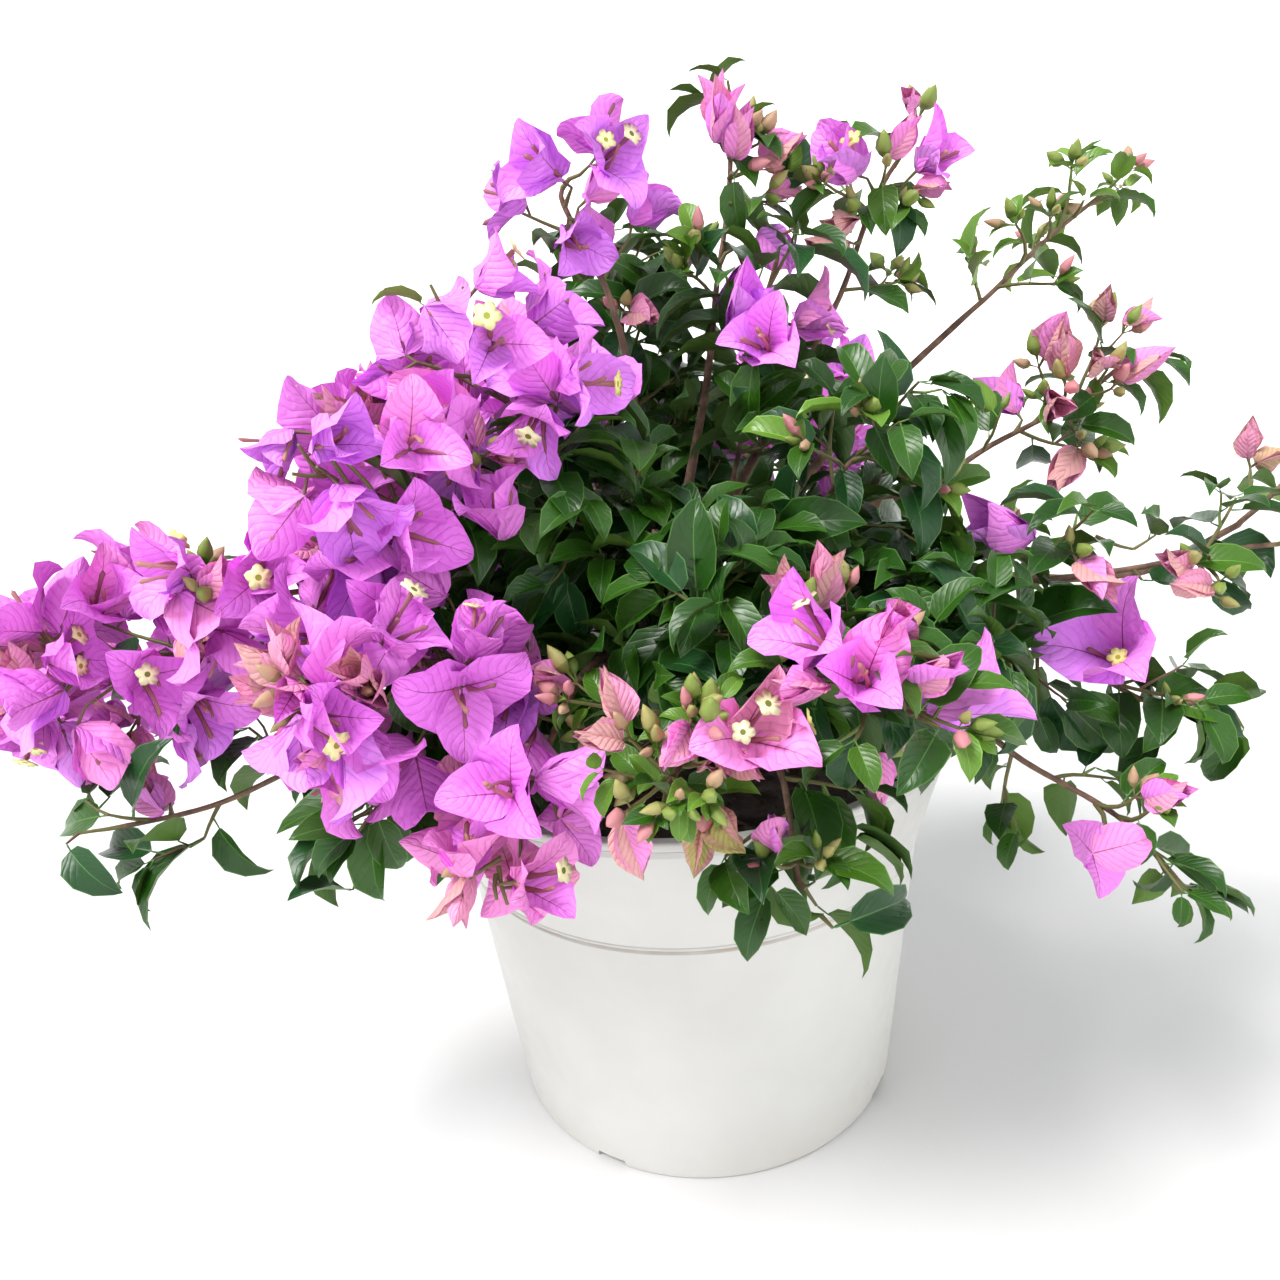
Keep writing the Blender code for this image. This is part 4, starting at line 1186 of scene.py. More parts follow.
def scatter(name, placements, templates, bank, **values):
    """One joined mesh of shapes at the placements."""
    mesh = bpy.data.meshes.new(name)
    mesh.from_pydata([spot.place for spot in placements], [], [])
    turns = [angle for spot in placements for angle in spot.turn.to_euler("XYZ")]
    give(mesh, "turn", "FLOAT_VECTOR", turns, "vector")
    give(mesh, "size", "FLOAT", [spot.size for spot in placements])
    give(mesh, "shape", "INT", [spot.shape for spot in placements])
    give(mesh, "tint", "INT", [spot.tint for spot in placements])
    shapes = bpy.data.collections.new(name)
    for template in templates:
        shapes.objects.link(template)
        bpy.context.scene.collection.objects.unlink(template)
    piece = run_tree(name, mesh, scatter_tree(name, bank), Shapes=shapes, **values)
    remove_all(templates)
    bpy.data.collections.remove(shapes)
    return piece


def sweep_limbs(name, limbs, materials, **values):
    """One joined mesh of limbs along their paths."""
    places, edges, girths, tints = [], [], [], []
    for limb in limbs:
        edges += [(n, n + 1) for n in range(len(places), len(places) + len(limb.points) - 1)]
        places += limb.points
        girths += limb.radii
        tints += [limb.tint] * len(limb.points)
    mesh = bpy.data.meshes.new(name)
    mesh.from_pydata(places, edges, [])
    give(mesh, "girth", "FLOAT", girths)
    give(mesh, "tint", "INT", tints)
    return run_tree(name, mesh, limb_tree(name, materials), **values)


# ---------------------------------------------------------------- shapes of blades and flowers

# width: of half the blade, over its length; widest, drawn: powers of the outline towards its foot
# and tip; fold: lift of both halves; cup: rise of the edges; bend, hook: how far the blade and its
# tip turn down; wave, waves, phase: of the edge; twist: radians; stalk: its length.
Form = namedtuple("Form", "width widest drawn fold cup bend hook wave waves phase twist stalk")
LEAF_FORMS = (
    Form(0.275, 0.54, 0.92, 0.22, 0.10, 0.35, 0.85, 0.10, 1.2, 0.0, 0.10, 0.17),
    Form(0.300, 0.48, 0.84, 0.36, 0.05, 0.20, 1.20, 0.12, 1.0, 1.1, -0.15, 0.15),
    Form(0.250, 0.56, 1.00, 0.55, 0.04, 0.55, 1.00, 0.08, 1.5, 2.3, 0.20, 0.18),
    Form(0.310, 0.48, 0.80, 0.12, 0.18, 0.10, 0.70, 0.15, 1.3, 3.4, 0.05, 0.16),
    Form(0.265, 0.52, 0.95, 0.32, 0.00, 0.80, 0.75, 0.15, 0.9, 4.2, -0.25, 0.14),
    Form(0.285, 0.50, 0.88, 0.46, 0.12, -0.10, 1.40, 0.10, 1.7, 5.1, 0.30, 0.19),
)
BRACT_FORMS = (
    Form(0.43, 0.50, 0.66, 0.04, 0.46, -0.70, 1.70, 0.16, 1.5, 0.3, 0.10, 0.0),
    Form(0.46, 0.46, 0.68, 0.02, 0.36, -0.45, 1.45, 0.24, 1.8, 1.6, -0.20, 0.0),
    Form(0.41, 0.52, 0.72, 0.10, 0.60, -1.00, 1.30, 0.14, 1.4, 2.6, 0.15, 0.0),
    Form(0.44, 0.48, 0.64, 0.00, 0.24, -0.30, 2.00, 0.26, 1.6, 3.9, 0.25, 0.0),
    Form(0.47, 0.50, 0.68, 0.06, 0.50, -0.90, 1.10, 0.20, 1.9, 4.8, -0.10, 0.0),
    Form(0.42, 0.46, 0.66, 0.08, 0.30, -0.10, 1.60, 0.28, 1.2, 5.7, -0.30, 0.0),
    Form(0.33, 0.55, 0.84, 0.10, 0.70, -0.25, -0.10, 0.10, 1.4, 0.8, 0.05, 0.0),
    Form(0.36, 0.50, 0.88, 0.08, 0.60, -0.30, 0.30, 0.12, 1.7, 2.9, -0.10, 0.0),
)
OPEN_SHAPES = 6                 # the bracts after these are rolled up
DRAWN_FROM = 0.72               # of the length; from here on the tip is drawn out
DRAWN_TIP = 0.42                # how much narrower than its curve a blade is at its very tip
STEPS = 40

# Where a blade is cut across, and its midrib, its pale edge strip (a painted highlight of a leaf's
# rolled edge) and its thickness, against its length
Cut = namedtuple("Cut", "rows rib edge thick")
LEAF_CUT = Cut((0.06, 0.24, 0.46, 0.68, 0.88), 0.011, 0.013, 0.009)
BRACT_CUT = Cut((0.035, 0.13, 0.28, 0.45, 0.62, 0.77, 0.88, 0.955), 0.011, 0.0, 0.006)


def half_width(form, u):
    """Half the blade's width at u of its length."""
    best = form.widest / (form.widest + form.drawn)
    peak = best ** form.widest * (1 - best) ** form.drawn
    point = 1.0 - DRAWN_TIP * max(0.0, (u - DRAWN_FROM) / (1.0 - DRAWN_FROM))
    return form.width * point * u ** form.widest * (1 - u) ** form.drawn / peak


def blade_point(form, u, x=0.0, depth=0.0):
    """A point of the blade at u along it and x across, so deep under its upper face."""

    def ways(share):
        angle = form.bend * share + form.hook * share ** 3
        return (Vector((0.0, math.cos(angle), -math.sin(angle))),
                Vector((0.0, math.sin(angle), math.cos(angle))))

    midrib = Vector((0.0, form.stalk, 0.12 * form.stalk))
    for number in range(int(STEPS * u)):
        midrib += ways((number + 0.5) / STEPS)[0] / STEPS
    width = max(half_width(form, u), 1e-6)
    v = x / width
    along, normal = ways(u)
    twist = Quaternion(along, form.twist * u)
    phase = form.phase if x < 0 else form.phase + 1.9
    ripple = form.wave * width * v * v * math.sin(math.tau * form.waves * u + phase)
    lift = form.fold * abs(x) + form.cup * width * v * v + ripple
    narrow = 1.0 - 0.30 * form.cup * v * v - 0.12 * form.fold
    return (midrib + narrow * x * (twist @ Vector((1.0, 0.0, 0.0)))
            + (lift - depth * (1 - v ** 4)) * (twist @ normal))


def section_of(form, cut, u):
    """The blade's section at u: x, depth and zone (of the stretch that follows) round it."""
    width = half_width(form, u)
    rib = min(cut.rib * (1.0 - 0.85 * u), 0.3 * width)
    upper = [(-width, 0), (-0.5 * width, 0), (-rib, 2), (rib, 0), (0.5 * width, 0), (width, 1)]
    under = [(0.5 * width, 1), (rib, 2), (-rib, 1), (-0.5 * width, 1)]
    # a pale strip along the upper face's edges, in the midrib's zone: a painted highlight of the
    # rolled edge
    if cut.edge:
        inset = width - min(cut.edge, 0.25 * width)
        upper = [(-width, 2), (-inset, 0), *upper[1:-1], (inset, 2), (width, 1)]
        under = [(inset, 1), (0.5 * width, 1), (0.0, 1), (-0.5 * width, 1), (-inset, 1)]
    return [(x, 0.0, zone) for x, zone in upper] + [(x, cut.thick, zone) for x, zone in under]


def new_shape():
    bm = bmesh.new()
    bm.faces.layers.int.new("zone")
    return bm


def finished_shape(name, bm):
    bmesh.ops.recalc_face_normals(bm, faces=bm.faces)
    return object_from_bmesh(name, bm)


def loft(bm, rings, zone_of, late_from=math.inf):
    """A closed skin over rings of points; the first and last ring are one point each.

    Faces from the column late_from on start at their next corner, so that a blade's two skins
    are split along the same diagonals.
    """
    zone_layer = bm.faces.layers.int["zone"]
    verts = [[bm.verts.new(point) for point in ring] for ring in rings]
    for row, (low, high) in enumerate(zip(verts, verts[1:])):
        count = max(len(low), len(high))
        for n in range(count):
            after = (n + 1) % count
            corners = [low[n % len(low)], low[after % len(low)],
                       high[after % len(high)], high[n % len(high)]]
            if n >= late_from:
                corners = corners[1:] + corners[:1]
            bm.faces.new(list(dict.fromkeys(corners)))[zone_layer] = zone_of(row, n)
    return verts


def around(number, count):
    """Unit vector round +Y."""
    angle = math.tau * number / count
    return Vector((math.cos(angle), 0.0, math.sin(angle)))


def ring_of(centre, radius, count):
    return [centre + radius * around(n, count) for n in range(count)]


def blade_template(name, form, cut):
    """A thin closed blade of the form, one unit long, with a stalk if the form has one."""
    bm = new_shape()
    chart = bm.loops.layers.uv.new("blade")
    sections = [section_of(form, cut, u) for u in cut.rows]
    uppers = sum(depth == 0.0 for _, depth, _ in sections[0]) - 1
    rings = [[blade_point(form, u, x, depth) for x, depth, _ in section]
             for u, section in zip(cut.rows, sections)]
    verts = loft(bm, [[blade_point(form, 0.0)], *rings, [blade_point(form, 1.0)]],
                 lambda row, n: sections[0][n][2], uppers)
    spots = {verts[-1][0]: (1.0, 0.5)}
    for ring, section, u in zip(verts[1:-1], sections, cut.rows):
        for vert, (x, _, _) in zip(ring, section):
            spots[vert] = (u, 0.5 + 0.5 * x / half_width(form, u))
    if form.stalk:
        end = blade_point(form, 0.03) - Vector((0.0, 0.0, 0.012))
        loft(bm, [[Vector((0.0, -0.01, 0.0))], ring_of(Vector((0.0, 0.04, 0.0)), 0.017, 4),
                  ring_of(end, 0.011, 4), [end + Vector((0.0, 0.01, 0.0))]], lambda row, n: 2)
    for face in bm.faces:
        for loop in face.loops:
            loop[chart].uv = spots.get(loop.vert, (0.0, 0.5))
    blade = finished_shape(name, bm)
    blade.data.set_sharp_from_angle(angle=math.radians(75.0))
    return blade


def blade_templates(name, forms, cut):
    return [blade_template(f"{name}_{number}", form, cut) for number, form in enumerate(forms)]


TUBE_RADII = ((0.0, 0.040), (0.20, 0.066), (0.55, 0.038), (0.92, 0.062))
TUBE_SIDES = 6
TUBE_SHAPES = ((0.15, False), (-0.45, False), (0.10, True), (0.55, False))   # bend, open or not
TUBE_SHARES = (3, 3, 2, 2)      # how often each shape comes
STAR_POINTS = 20
STAR_REACH = (0.285, 0.250, 0.205, 0.250)
BUD_STALK = 0.45
BUD_RADII = ((-BUD_STALK, 0.035), (-0.5 * BUD_STALK, 0.028), (0.0, 0.055), (0.10, 0.165),
             (0.32, 0.265), (0.58, 0.225), (0.82, 0.110))
BUD_SIDES = 6
BUD_SHAPES = ((1.0, 0.04), (0.82, -0.06), (1.15, 0.0))          # girth, bend
CAP_FROM = 5                    # the row of a bud's faces where its cap begins


def tube_template(name, bent, is_open):
    """A flower's tube, one unit long; an open one ends in a crinkled star with a darker eye."""
    bm = new_shape()

    def axis_at(t, rise=0.0):
        return Vector((0.0, t * math.cos(bent * t) + rise, t * math.sin(bent * t)))

    rings = [ring_of(axis_at(t), radius, TUBE_SIDES) for t, radius in TUBE_RADII]
    loft(bm, [[axis_at(0.0)], *rings, [axis_at(0.94 if is_open else 1.0)]], lambda row, n: 0)
    if is_open:
        rim = [axis_at(0.98, 0.02 + 0.03 * (n % 2)) + STAR_REACH[n % 4] * around(n, STAR_POINTS)
               for n in range(STAR_POINTS)]
        eye = ring_of(axis_at(0.98, 0.02), 0.065, STAR_POINTS)
        loft(bm, [[axis_at(0.98, -0.05)], rim, eye, [axis_at(0.98, 0.015)]],
             lambda row, n: 2 if row == 2 else 1)
    return finished_shape(name, bm)


def bud_template(name, girth, bent):
    """A pointed bud of folded bracts on its stalk, one unit long above the stalk."""
    bm = new_shape()
    rings = [[Vector()]]
    for t, radius in BUD_RADII:
        centre = Vector((bent * max(t, 0.0) ** 2, t + BUD_STALK, 0.0))
        ridges = (0.92, 1.10) if t > 0.05 else (1.0, 1.0)
        wide = radius * (girth if t >= 0 else 1.0)
        rings.append([centre + ridges[n % 2] * wide * around(n, BUD_SIDES)
                      for n in range(BUD_SIDES)])
    loft(bm, [*rings, [Vector((bent, 1.0 + BUD_STALK, 0.0))]], lambda row, n: int(row >= CAP_FROM))
    return finished_shape(name, bm)


# ---------------------------------------------------------------- pieces

def nodes_of(*kinds):
    """The frame's nodes of the masses of these kinds."""
    return [f"{HABITS[mass.kind].prefix}_{mass.name}" for mass in MASSES if mass.kind in kinds]


def turned(name, profile, steps):
    """A solid of revolution round Z; the profile runs from the axis over the top and down."""
    bm = bmesh.new()
    corners = [bm.verts.new((radius, 0.0, height)) for radius, height in profile]
    for start, end in zip(corners, corners[1:]):
        bm.edges.new((start, end))
    thing = object_from_bmesh(name, bm)
    modify(thing, "turn", "SCREW", axis="Z", steps=steps, render_steps=steps,
           use_merge_vertices=True, merge_threshold=0.00001)
    return thing


def inner_radius(height):
    """Radius of the pot's inner wall, which flares more above the groove."""
    if height < GROOVE_HEIGHT:
        outer = BASE_RADIUS + (GROOVE_RADIUS - BASE_RADIUS) * height / GROOVE_HEIGHT
        return outer - WALL_THICKNESS
    foot = GROOVE_RADIUS - WALL_THICKNESS
    share = (height - GROOVE_HEIGHT) / (POT_HEIGHT - GROOVE_HEIGHT)
    return foot + share * (RIM_RADIUS - RIM_WIDTH - foot)


def arc(x, z, radius, start, end, steps):
    """Profile points on an arc, its angles in degrees from +X towards +Z."""
    angles = [math.radians(start + (end - start) * n / steps) for n in range(steps + 1)]
    return [(x + radius * math.cos(angle), z + radius * math.sin(angle)) for angle in angles]


def pot_profile():
    """The pot's outline from the middle of its floor over the rim and down to its underside."""
    lip, step, rim_top = LIP_RADIUS, BAND_STEP, POT_HEIGHT - LIP_RADIUS
    return [
        (0.0, FLOOR_THICKNESS),
        *arc(inner_radius(0.009) - FLOOR_FILLET, FLOOR_THICKNESS + FLOOR_FILLET, FLOOR_FILLET,
             -90, -5, 4),
        (inner_radius(GROOVE_HEIGHT), GROOVE_HEIGHT),
        *arc(inner_radius(POT_HEIGHT) + lip, rim_top, lip, 170, 90, 4),
        *arc(RIM_RADIUS - lip, rim_top, lip, 90, 0, 5),
        (RIM_RADIUS - 0.0001, BAND_HEIGHT + 2.6 * step),
        *arc(RIM_RADIUS - 0.0007, BAND_HEIGHT + 2.0 * step, 0.0004, 60, -60, 3),
        (RIM_RADIUS - 0.0004, BAND_HEIGHT + 1.2 * step),
        *arc(RIM_RADIUS - 0.0011, BAND_HEIGHT + 0.5 * step, 0.5 * step, 0, -90, 4),
        (BAND_FOOT_RADIUS + 0.0005, BAND_HEIGHT), (BAND_FOOT_RADIUS, BAND_HEIGHT - 0.0006),
        (GROOVE_RADIUS + 0.0012, GROOVE_HEIGHT + 0.0042),
        *arc(GROOVE_RADIUS - 0.0001, GROOVE_HEIGHT + 0.0017, 0.0009, 60, -60, 5),
        (GROOVE_RADIUS - 0.0009, GROOVE_HEIGHT),
        *arc(GROOVE_RADIUS - 0.0007, GROOVE_HEIGHT - 0.0016, 0.0006, 60, -20, 4),
        (BASE_RADIUS + 0.0002, 0.0022),
        *arc(BASE_RADIUS - 0.0014, 0.0015, 0.0015, 0, -90, 5),
        (0.0, 0.0),
    ]


class BOUGAINVILLEA_OT_pot(bpy.types.Operator):
    """The pot: a fine turned shell with its groove, stepped rim and drainage notches."""
    bl_idname = "bougainvillea.pot"
    bl_label = "Pot"
    bl_options = {"REGISTER", "UNDO"}

    def execute(self, context):
        sizes = settings("pot")
        pot = turned("pot_shell", pot_profile(), sizes.steps)
        cutters = [notch_cutter(f"notch_{number}", aim) for number, aim in enumerate(NOTCH_AIMS)]
        for cutter in cutters:
            modify(pot, cutter.name, "BOOLEAN", operation="DIFFERENCE", object=cutter)
        plain_mesh(pot)
        remove_all(cutters)
        pot.data.set_sharp_from_angle(angle=math.radians(38.0))
        paint(pot, pot_material(tuple(sizes.plastic)))
        dress(pot, "pot_plastic", "pot")
        return {"FINISHED"}


def notch_cutter(name, aim):
    """The cutter of a drainage notch, narrower at its top, in the foot of the wall."""
    bm = bmesh.new()
    bmesh.ops.create_cube(bm, size=1.0)
    bmesh.ops.scale(bm, vec=(2 * NOTCH_DEPTH, NOTCH_WIDTH, 2 * NOTCH_HEIGHT), verts=bm.verts)
    for vert in bm.verts:
        if vert.co.z > 0:
            vert.co.y *= 0.86
    turn = Matrix.Rotation(math.radians(aim), 4, "Z")
    shift = Matrix.Translation(BASE_RADIUS * heading(aim, 0.0))
    bmesh.ops.transform(bm, matrix=shift @ turn, verts=bm.verts)
    return object_from_bmesh(name, bm)


def crumb_template(name, stretch, rng):
    """A crumb of bark: a small stretched and dented block."""
    bm = bmesh.new()
    bmesh.ops.create_icosphere(bm, subdivisions=1, radius=0.5)
    for vert in bm.verts:
        vert.co = Vector(c * s * rng.uniform(0.7, 1.15) for c, s in zip(vert.co, stretch))
    thing = object_from_bmesh(name, bm)
    thing.data.shade_flat()
    return thing


def strewn_crumbs(rng, edge):
    """Where the crumbs of bark lie, each with its turn, size and shape."""
    crumbs = []
    for _ in range(CRUMBS):
        share = 0.95 * math.sqrt(rng.random())
        place = share * edge * heading(rng.uniform(0.0, 360.0), 0.0) + soil_height(share) * UP
        along = heading(rng.uniform(0.0, 360.0), rng.uniform(-CRUMB_TILT, CRUMB_TILT))
        turn = facing(along, square_to(along, UP + scatter_by(rng, 0.5)))
        size, shape = rng.uniform(0.25, 1.0), rng.randrange(len(CRUMB_STRETCHES))
        crumbs.append(Placement(place, turn, size, shape, 0))
    return crumbs


def soil_height(share):
    """The dome of the potting mix at a share of the way from its middle to its edge."""
    rise = (SOIL_TOP - SOIL_EDGE_HEIGHT) * math.cos(0.5 * math.pi * share)
    return SOIL_EDGE_HEIGHT + rise - SOIL_BUMP


class BOUGAINVILLEA_OT_soil(bpy.types.Operator):
    """The potting mix: an uneven dome strewn with crumbs of bark."""
    bl_idname = "bougainvillea.soil"
    bl_label = "Potting mix"
    bl_options = {"REGISTER", "UNDO"}

    def execute(self, context):
        sizes = settings("pot")
        rng = random.Random(SOIL_SEED)
        edge = inner_radius(SOIL_EDGE_HEIGHT) - SOIL_PLAY
        bottom = FLOOR_THICKNESS + SOIL_PLAY
        profile = [(edge * n / SOIL_STEPS, soil_height(n / SOIL_STEPS)) for n in range(SOIL_STEPS + 1)]
        profile += [(inner_radius(GROOVE_HEIGHT) - SOIL_PLAY, GROOVE_HEIGHT),
                    (inner_radius(FLOOR_THICKNESS) - SOIL_PLAY, bottom), (0.0, bottom)]
        soil = plain_mesh(turned("soil_mix", profile, SOIL_SIDES))
        for vert in soil.data.vertices:
            if vert.co.z > GROOVE_HEIGHT + 0.01 and math.hypot(vert.co.x, vert.co.y) < edge - 0.001:
                vert.co.z += rng.uniform(-SOIL_BUMP, SOIL_BUMP)
        paint(soil, bark_material("potting_soil", tuple(sizes.soil),
                                  tuple(2.0 * value for value in sizes.soil), 160.0, 0.0015))
        dress(soil, "potting_soil", "soil")
        crumbs = strewn_crumbs(rng, edge)
        blocks = [crumb_template(f"crumb_{number}", stretch, rng)
                  for number, stretch in enumerate(CRUMB_STRETCHES)]
        bark = bark_material("bark_crumbs", *BARKS["crumb"])
        dress(scatter("soil_crumbs", crumbs, blocks, [[bark]], Size=sizes.crumb), "potting_soil")
        return {"FINISHED"}


def trunk_limbs():
    """The leaning trunk, its surface roots and a stub for each cane and stem."""
    points = [TRUNK_FOOT + share * (KNOB - TRUNK_FOOT) for share in TRUNK_SHARES]
    points[1].xy = points[0].xy
    limbs = [Limb(points, list(TRUNK_RADII), 0)]
    for number in range(ROOT_COUNT):
        way = heading(360.0 * number / ROOT_COUNT + FIRST_ROOT_AIM, 0.0)
        start = TRUNK_FOOT + ROOT_RISE * UP
        end = TRUNK_FOOT + ROOT_REACH * way + 0.9 * ROOT_TIP_RADIUS * UP
        limbs.append(Limb([start, start.lerp(end, 0.5), end],
                          [ROOT_RADIUS, 0.6 * ROOT_RADIUS, ROOT_TIP_RADIUS], 0))
    return limbs + [Limb([KNOB + STUB_START * way, KNOB + STUB_REACH * way],
                         [1.25 * STUB_RADIUS, STUB_RADIUS], 0) for way in stub_directions()]


class BOUGAINVILLEA_OT_trunk(bpy.types.Operator):
    """The stump: trunk, surface roots and stubs melted together, with furrowed bark."""
    bl_idname = "bougainvillea.trunk"
    bl_label = "Trunk"
    bl_options = {"REGISTER", "UNDO"}

    def execute(self, context):
        bark = bark_material("trunk_bark", *BARKS["trunk"])
        trunk = sweep_limbs("trunk_stump", trunk_limbs(), [bark], Sides=12, Ring=0.003)
        furrows = bpy.data.textures.new("furrows", "MUSGRAVE")
        furrows.noise_scale = FURROW_WIDTH
        modify(trunk, "melt", "REMESH", mode="VOXEL", voxel_size=BARK_CELL)
        modify(trunk, "soften", "SMOOTH", factor=0.5, iterations=4)
        modify(trunk, "furrow", "DISPLACE", texture=furrows, texture_coords="LOCAL",
               strength=FURROW_DEPTH, mid_level=0.6)
        plain_mesh(trunk)
        paint(trunk, bark)
        trunk.data.shade_smooth()
        dress(trunk, "cane_bark", "trunk")
        return {"FINISHED"}


class BOUGAINVILLEA_OT_canes(bpy.types.Operator):
    """The canes and the stems they run into, with ridged bark."""
    bl_idname = "bougainvillea.canes"
    bl_label = "Canes"
    bl_options = {"REGISTER", "UNDO"}

    def execute(self, context):
        sizes = settings("wood")
        bark = bark_material("cane_bark", *BARKS["cane"])
        canes = sweep_limbs("canes", grown_plant().canes, [bark], Sides=10, Ring=sizes.ring,
                            Relief=sizes.relief, Grain=sizes.grain)
        dress(canes, "cane_bark", *[f"cane_{mass.name}" for mass in MASSES if mass.caned])
        return {"FINISHED"}


class BOUGAINVILLEA_OT_twigs(bpy.types.Operator):
    """Twigs and flower stalks, from brown to green."""
    bl_idname = "bougainvillea.twigs"
    bl_label = "Twigs"
    bl_options = {"REGISTER", "UNDO"}

    def execute(self, context):
        materials = grained_bank(TWIG_TINTS, 0.62, 380.0, 0.0004)[0]
        dress(sweep_limbs("twigs", grown_plant().twigs, materials, Sides=5, Ring=0.005), "cane_bark")
        return {"FINISHED"}


class BOUGAINVILLEA_OT_leaves(bpy.types.Operator):
    """Every leaf, in six shapes and six greens: the old leaves and the young ones."""
    bl_idname = "bougainvillea.leaves"
    bl_label = "Leaves"
    bl_options = {"REGISTER", "UNDO"}

    def execute(self, context):
        bank = blade_bank(LEAF_ZONES, LEAF_TINTS)
        for name, tints, kind in LEAF_PIECES:
            chosen = [leaf for leaf in grown_plant().leaves if leaf.tint in tints]
            templates = blade_templates("leaf", LEAF_FORMS, LEAF_CUT)
            dress(scatter(name, chosen, templates, bank), "leaf_green", *nodes_of(kind))
        return {"FINISHED"}


class BOUGAINVILLEA_OT_bracts(bpy.types.Operator):
    """The papery bracts, three round each flower."""
    bl_idname = "bougainvillea.bracts"
    bl_label = "Bracts"
    bl_options = {"REGISTER", "UNDO"}

    def execute(self, context):
        templates = blade_templates("bract", BRACT_FORMS, BRACT_CUT)
        bank = blade_bank(BRACT_ZONES, BRACT_TINTS)
        dress(scatter("bracts", grown_plant().bracts, templates, bank), "bract_magenta",
              *nodes_of("bloom", "mixed"))
        return {"FINISHED"}


class BOUGAINVILLEA_OT_tubes(bpy.types.Operator):
    """The tubes in the flowers, some open in a cream star."""
    bl_idname = "bougainvillea.tubes"
    bl_label = "Flower tubes"
    bl_options = {"REGISTER", "UNDO"}

    def execute(self, context):
        templates = [tube_template(f"tube_{n}", *shape) for n, shape in enumerate(TUBE_SHAPES)]
        bank = grained_bank(TUBE_TINTS, 0.60, 420.0, 0.0002)
        dress(scatter("flower_tubes", grown_plant().tubes, templates, bank), "bract_magenta")
        return {"FINISHED"}


class BOUGAINVILLEA_OT_buds(bpy.types.Operator):
    """The pointed buds."""
    bl_idname = "bougainvillea.buds"
    bl_label = "Buds"
    bl_options = {"REGISTER", "UNDO"}

    def execute(self, context):
        templates = [bud_template(f"bud_{n}", *shape) for n, shape in enumerate(BUD_SHAPES)]
        bank = grained_bank(BUD_TINTS, 0.58, 320.0, 0.0003)
        dress(scatter("buds", grown_plant().buds, templates, bank), "leaf_green",
              *nodes_of("bud", "young", "sprout"))
        return {"FINISHED"}


# ---------------------------------------------------------------- stage

STAGE_RADIUS = 5.0
STAGE_SWEEP = 2.5
SKY_COLOUR = (0.96, 0.98, 1.0, 1.0)
SUNS = {                        # the way its light goes, how wide it is in degrees, its colour
    "key": ((0.98, 0.5, -1.95), 28.0, (1.0, 0.99, 0.975)),
    "fill": ((-0.80, 1.2, -0.55), 60.0, (0.95, 0.98, 1.0)),
}
CAMERA_PLACE = Vector((0.0, -0.4807, 0.4258))
CAMERA_YAW = -2.12
CAMERA_PITCH = -21.26
CAMERA_ROLL = -4.98
CAMERA_LENS = 30.0
CAMERA_SENSOR = 36.0


class BOUGAINVILLEA_OT_stage(bpy.types.Operator):
    """A pale floor that curves up all round, soft light and the camera."""
    bl_idname = "bougainvillea.stage"
    bl_label = "Stage"
    bl_options = {"REGISTER", "UNDO"}

    def execute(self, context):
        sizes = settings("stage")
        profile = arc(STAGE_RADIUS - STAGE_SWEEP, STAGE_SWEEP, STAGE_SWEEP, 0, -80, 8)
        profile += [(STAGE_RADIUS - STAGE_SWEEP, 0.0), (0.0, 0.0)]
        floor = plain_mesh(turned("stage_floor", profile, 96))
        if floor.data.polygons[0].normal.z < 0:
            floor.data.flip_normals()
        paint(floor, paper_material(tuple(sizes.floor)))
        world = bpy.data.worlds.new("studio")
        world.use_nodes = True
        Wiring(world.node_tree).fill(world.node_tree.nodes["Background"], SKY_COLOUR, sizes.sky)
        bpy.context.scene.world = world
        for name, (way, angle, colour) in SUNS.items():
            add_sun(name, way, getattr(sizes, name), angle, colour)
        bpy.context.scene.view_settings.view_transform = "Standard"
        aim_camera()
        return {"FINISHED"}


def add_sun(name, way, strength, angle, colour):
    lamp = bpy.data.lights.new(name, "SUN")
    lamp.energy = strength
    lamp.angle = math.radians(angle)
    lamp.color = colour
    thing = link_object(name, lamp)
    thing.rotation_euler = Vector(way).to_track_quat("-Z", "Y").to_euler()


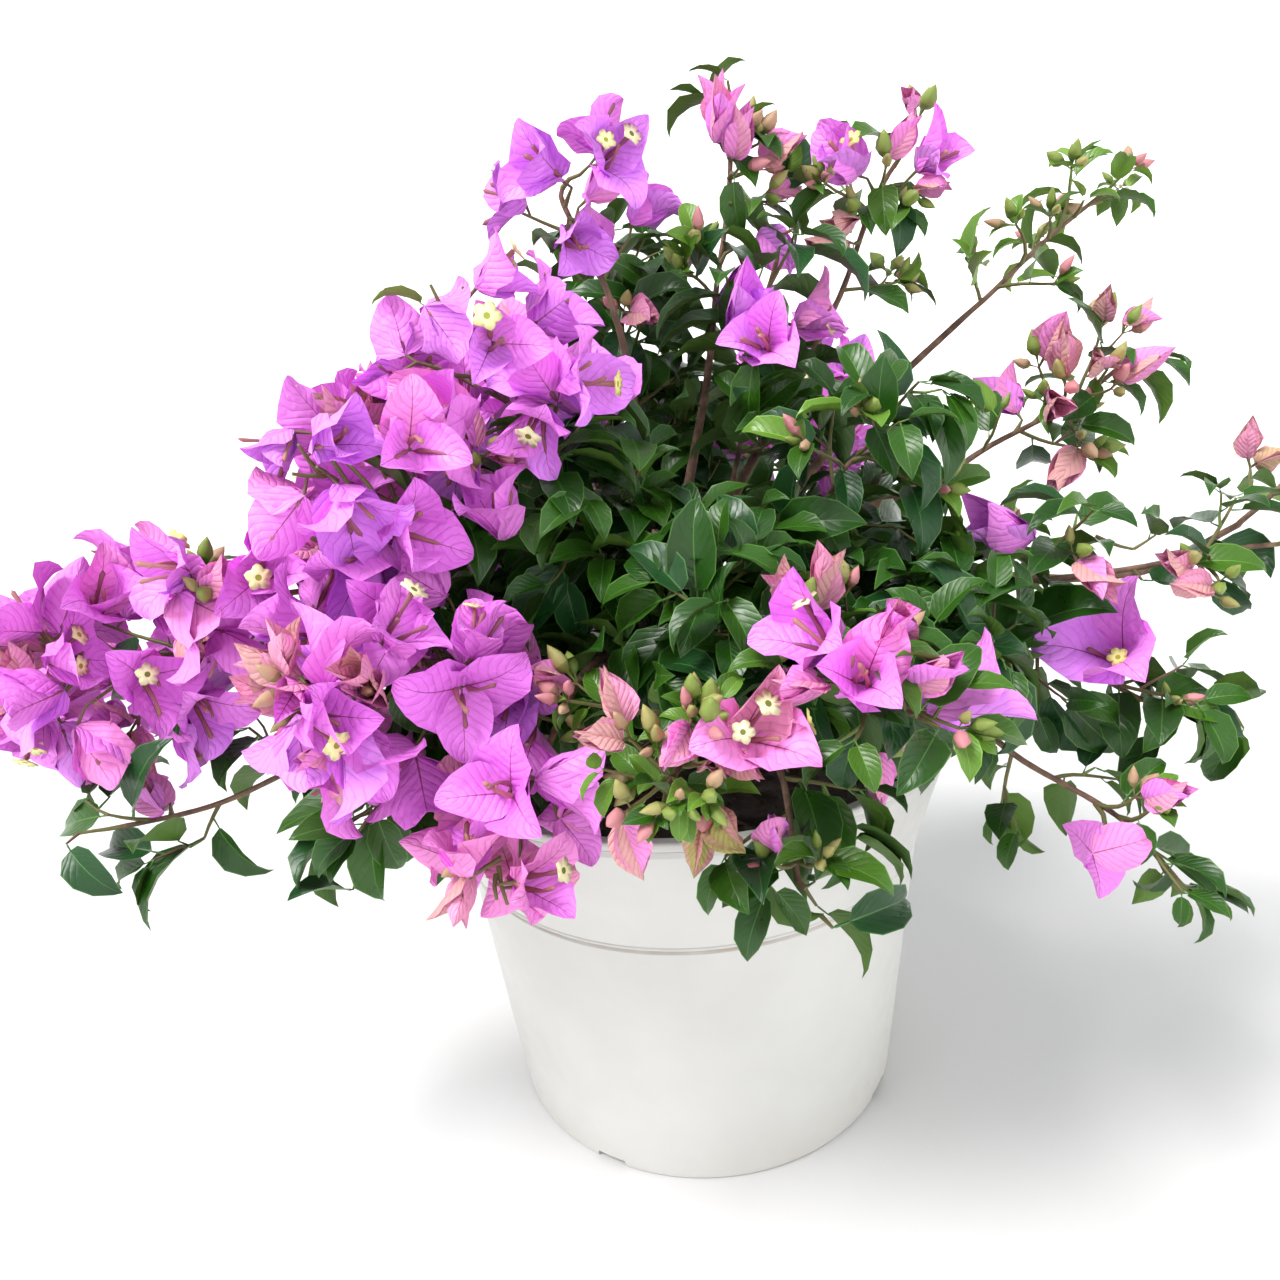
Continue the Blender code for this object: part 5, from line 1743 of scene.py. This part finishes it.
def aim_camera():
    lens = bpy.data.cameras.new("view")
    lens.lens = CAMERA_LENS
    lens.sensor_width = CAMERA_SENSOR
    lens.clip_start = 0.01
    camera = link_object("view", lens)
    way = heading(90.0 - CAMERA_YAW, CAMERA_PITCH)
    right = Quaternion(way, -math.radians(CAMERA_ROLL)) @ heading(-CAMERA_YAW, 0.0)
    turn = Matrix((right, right.cross(way), -way)).transposed()
    camera.matrix_world = Matrix.Translation(CAMERA_PLACE) @ turn.to_4x4()
    bpy.context.scene.camera = camera


# ---------------------------------------------------------------- the add-on

OPERATORS = (
    BOUGAINVILLEA_OT_pot, BOUGAINVILLEA_OT_soil, BOUGAINVILLEA_OT_trunk,
    BOUGAINVILLEA_OT_canes, BOUGAINVILLEA_OT_twigs, BOUGAINVILLEA_OT_leaves,
    BOUGAINVILLEA_OT_bracts, BOUGAINVILLEA_OT_tubes, BOUGAINVILLEA_OT_buds,
    BOUGAINVILLEA_OT_stage,
)


class BOUGAINVILLEA_PT_panel(bpy.types.Panel):
    """Lists the sizes and the pieces."""
    bl_idname = "BOUGAINVILLEA_PT_panel"
    bl_label = "Bougainvillea"
    bl_space_type = "VIEW_3D"
    bl_region_type = "UI"
    bl_category = "Bougainvillea"

    def draw(self, context):
        for name, group in SETTINGS.items():
            box = self.layout.box()
            box.label(text=group.__doc__)
            for label in group.__annotations__:
                box.prop(settings(name), label)
        for maker in OPERATORS:
            self.layout.operator(maker.bl_idname)


CLASSES = (*SETTINGS.values(), *OPERATORS, BOUGAINVILLEA_PT_panel)


def register():
    for item in CLASSES:
        bpy.utils.register_class(item)
    for name, group in SETTINGS.items():
        setattr(bpy.types.Scene, "bougainvillea_" + name, PointerProperty(type=group))


def unregister():
    for name in SETTINGS:
        delattr(bpy.types.Scene, "bougainvillea_" + name)
    for item in reversed(CLASSES):
        bpy.utils.unregister_class(item)


def main():
    register()
    for maker in OPERATORS:
        getattr(bpy.ops.bougainvillea, maker.bl_idname.split(".")[1])()


if __name__ == "__main__":
    main()
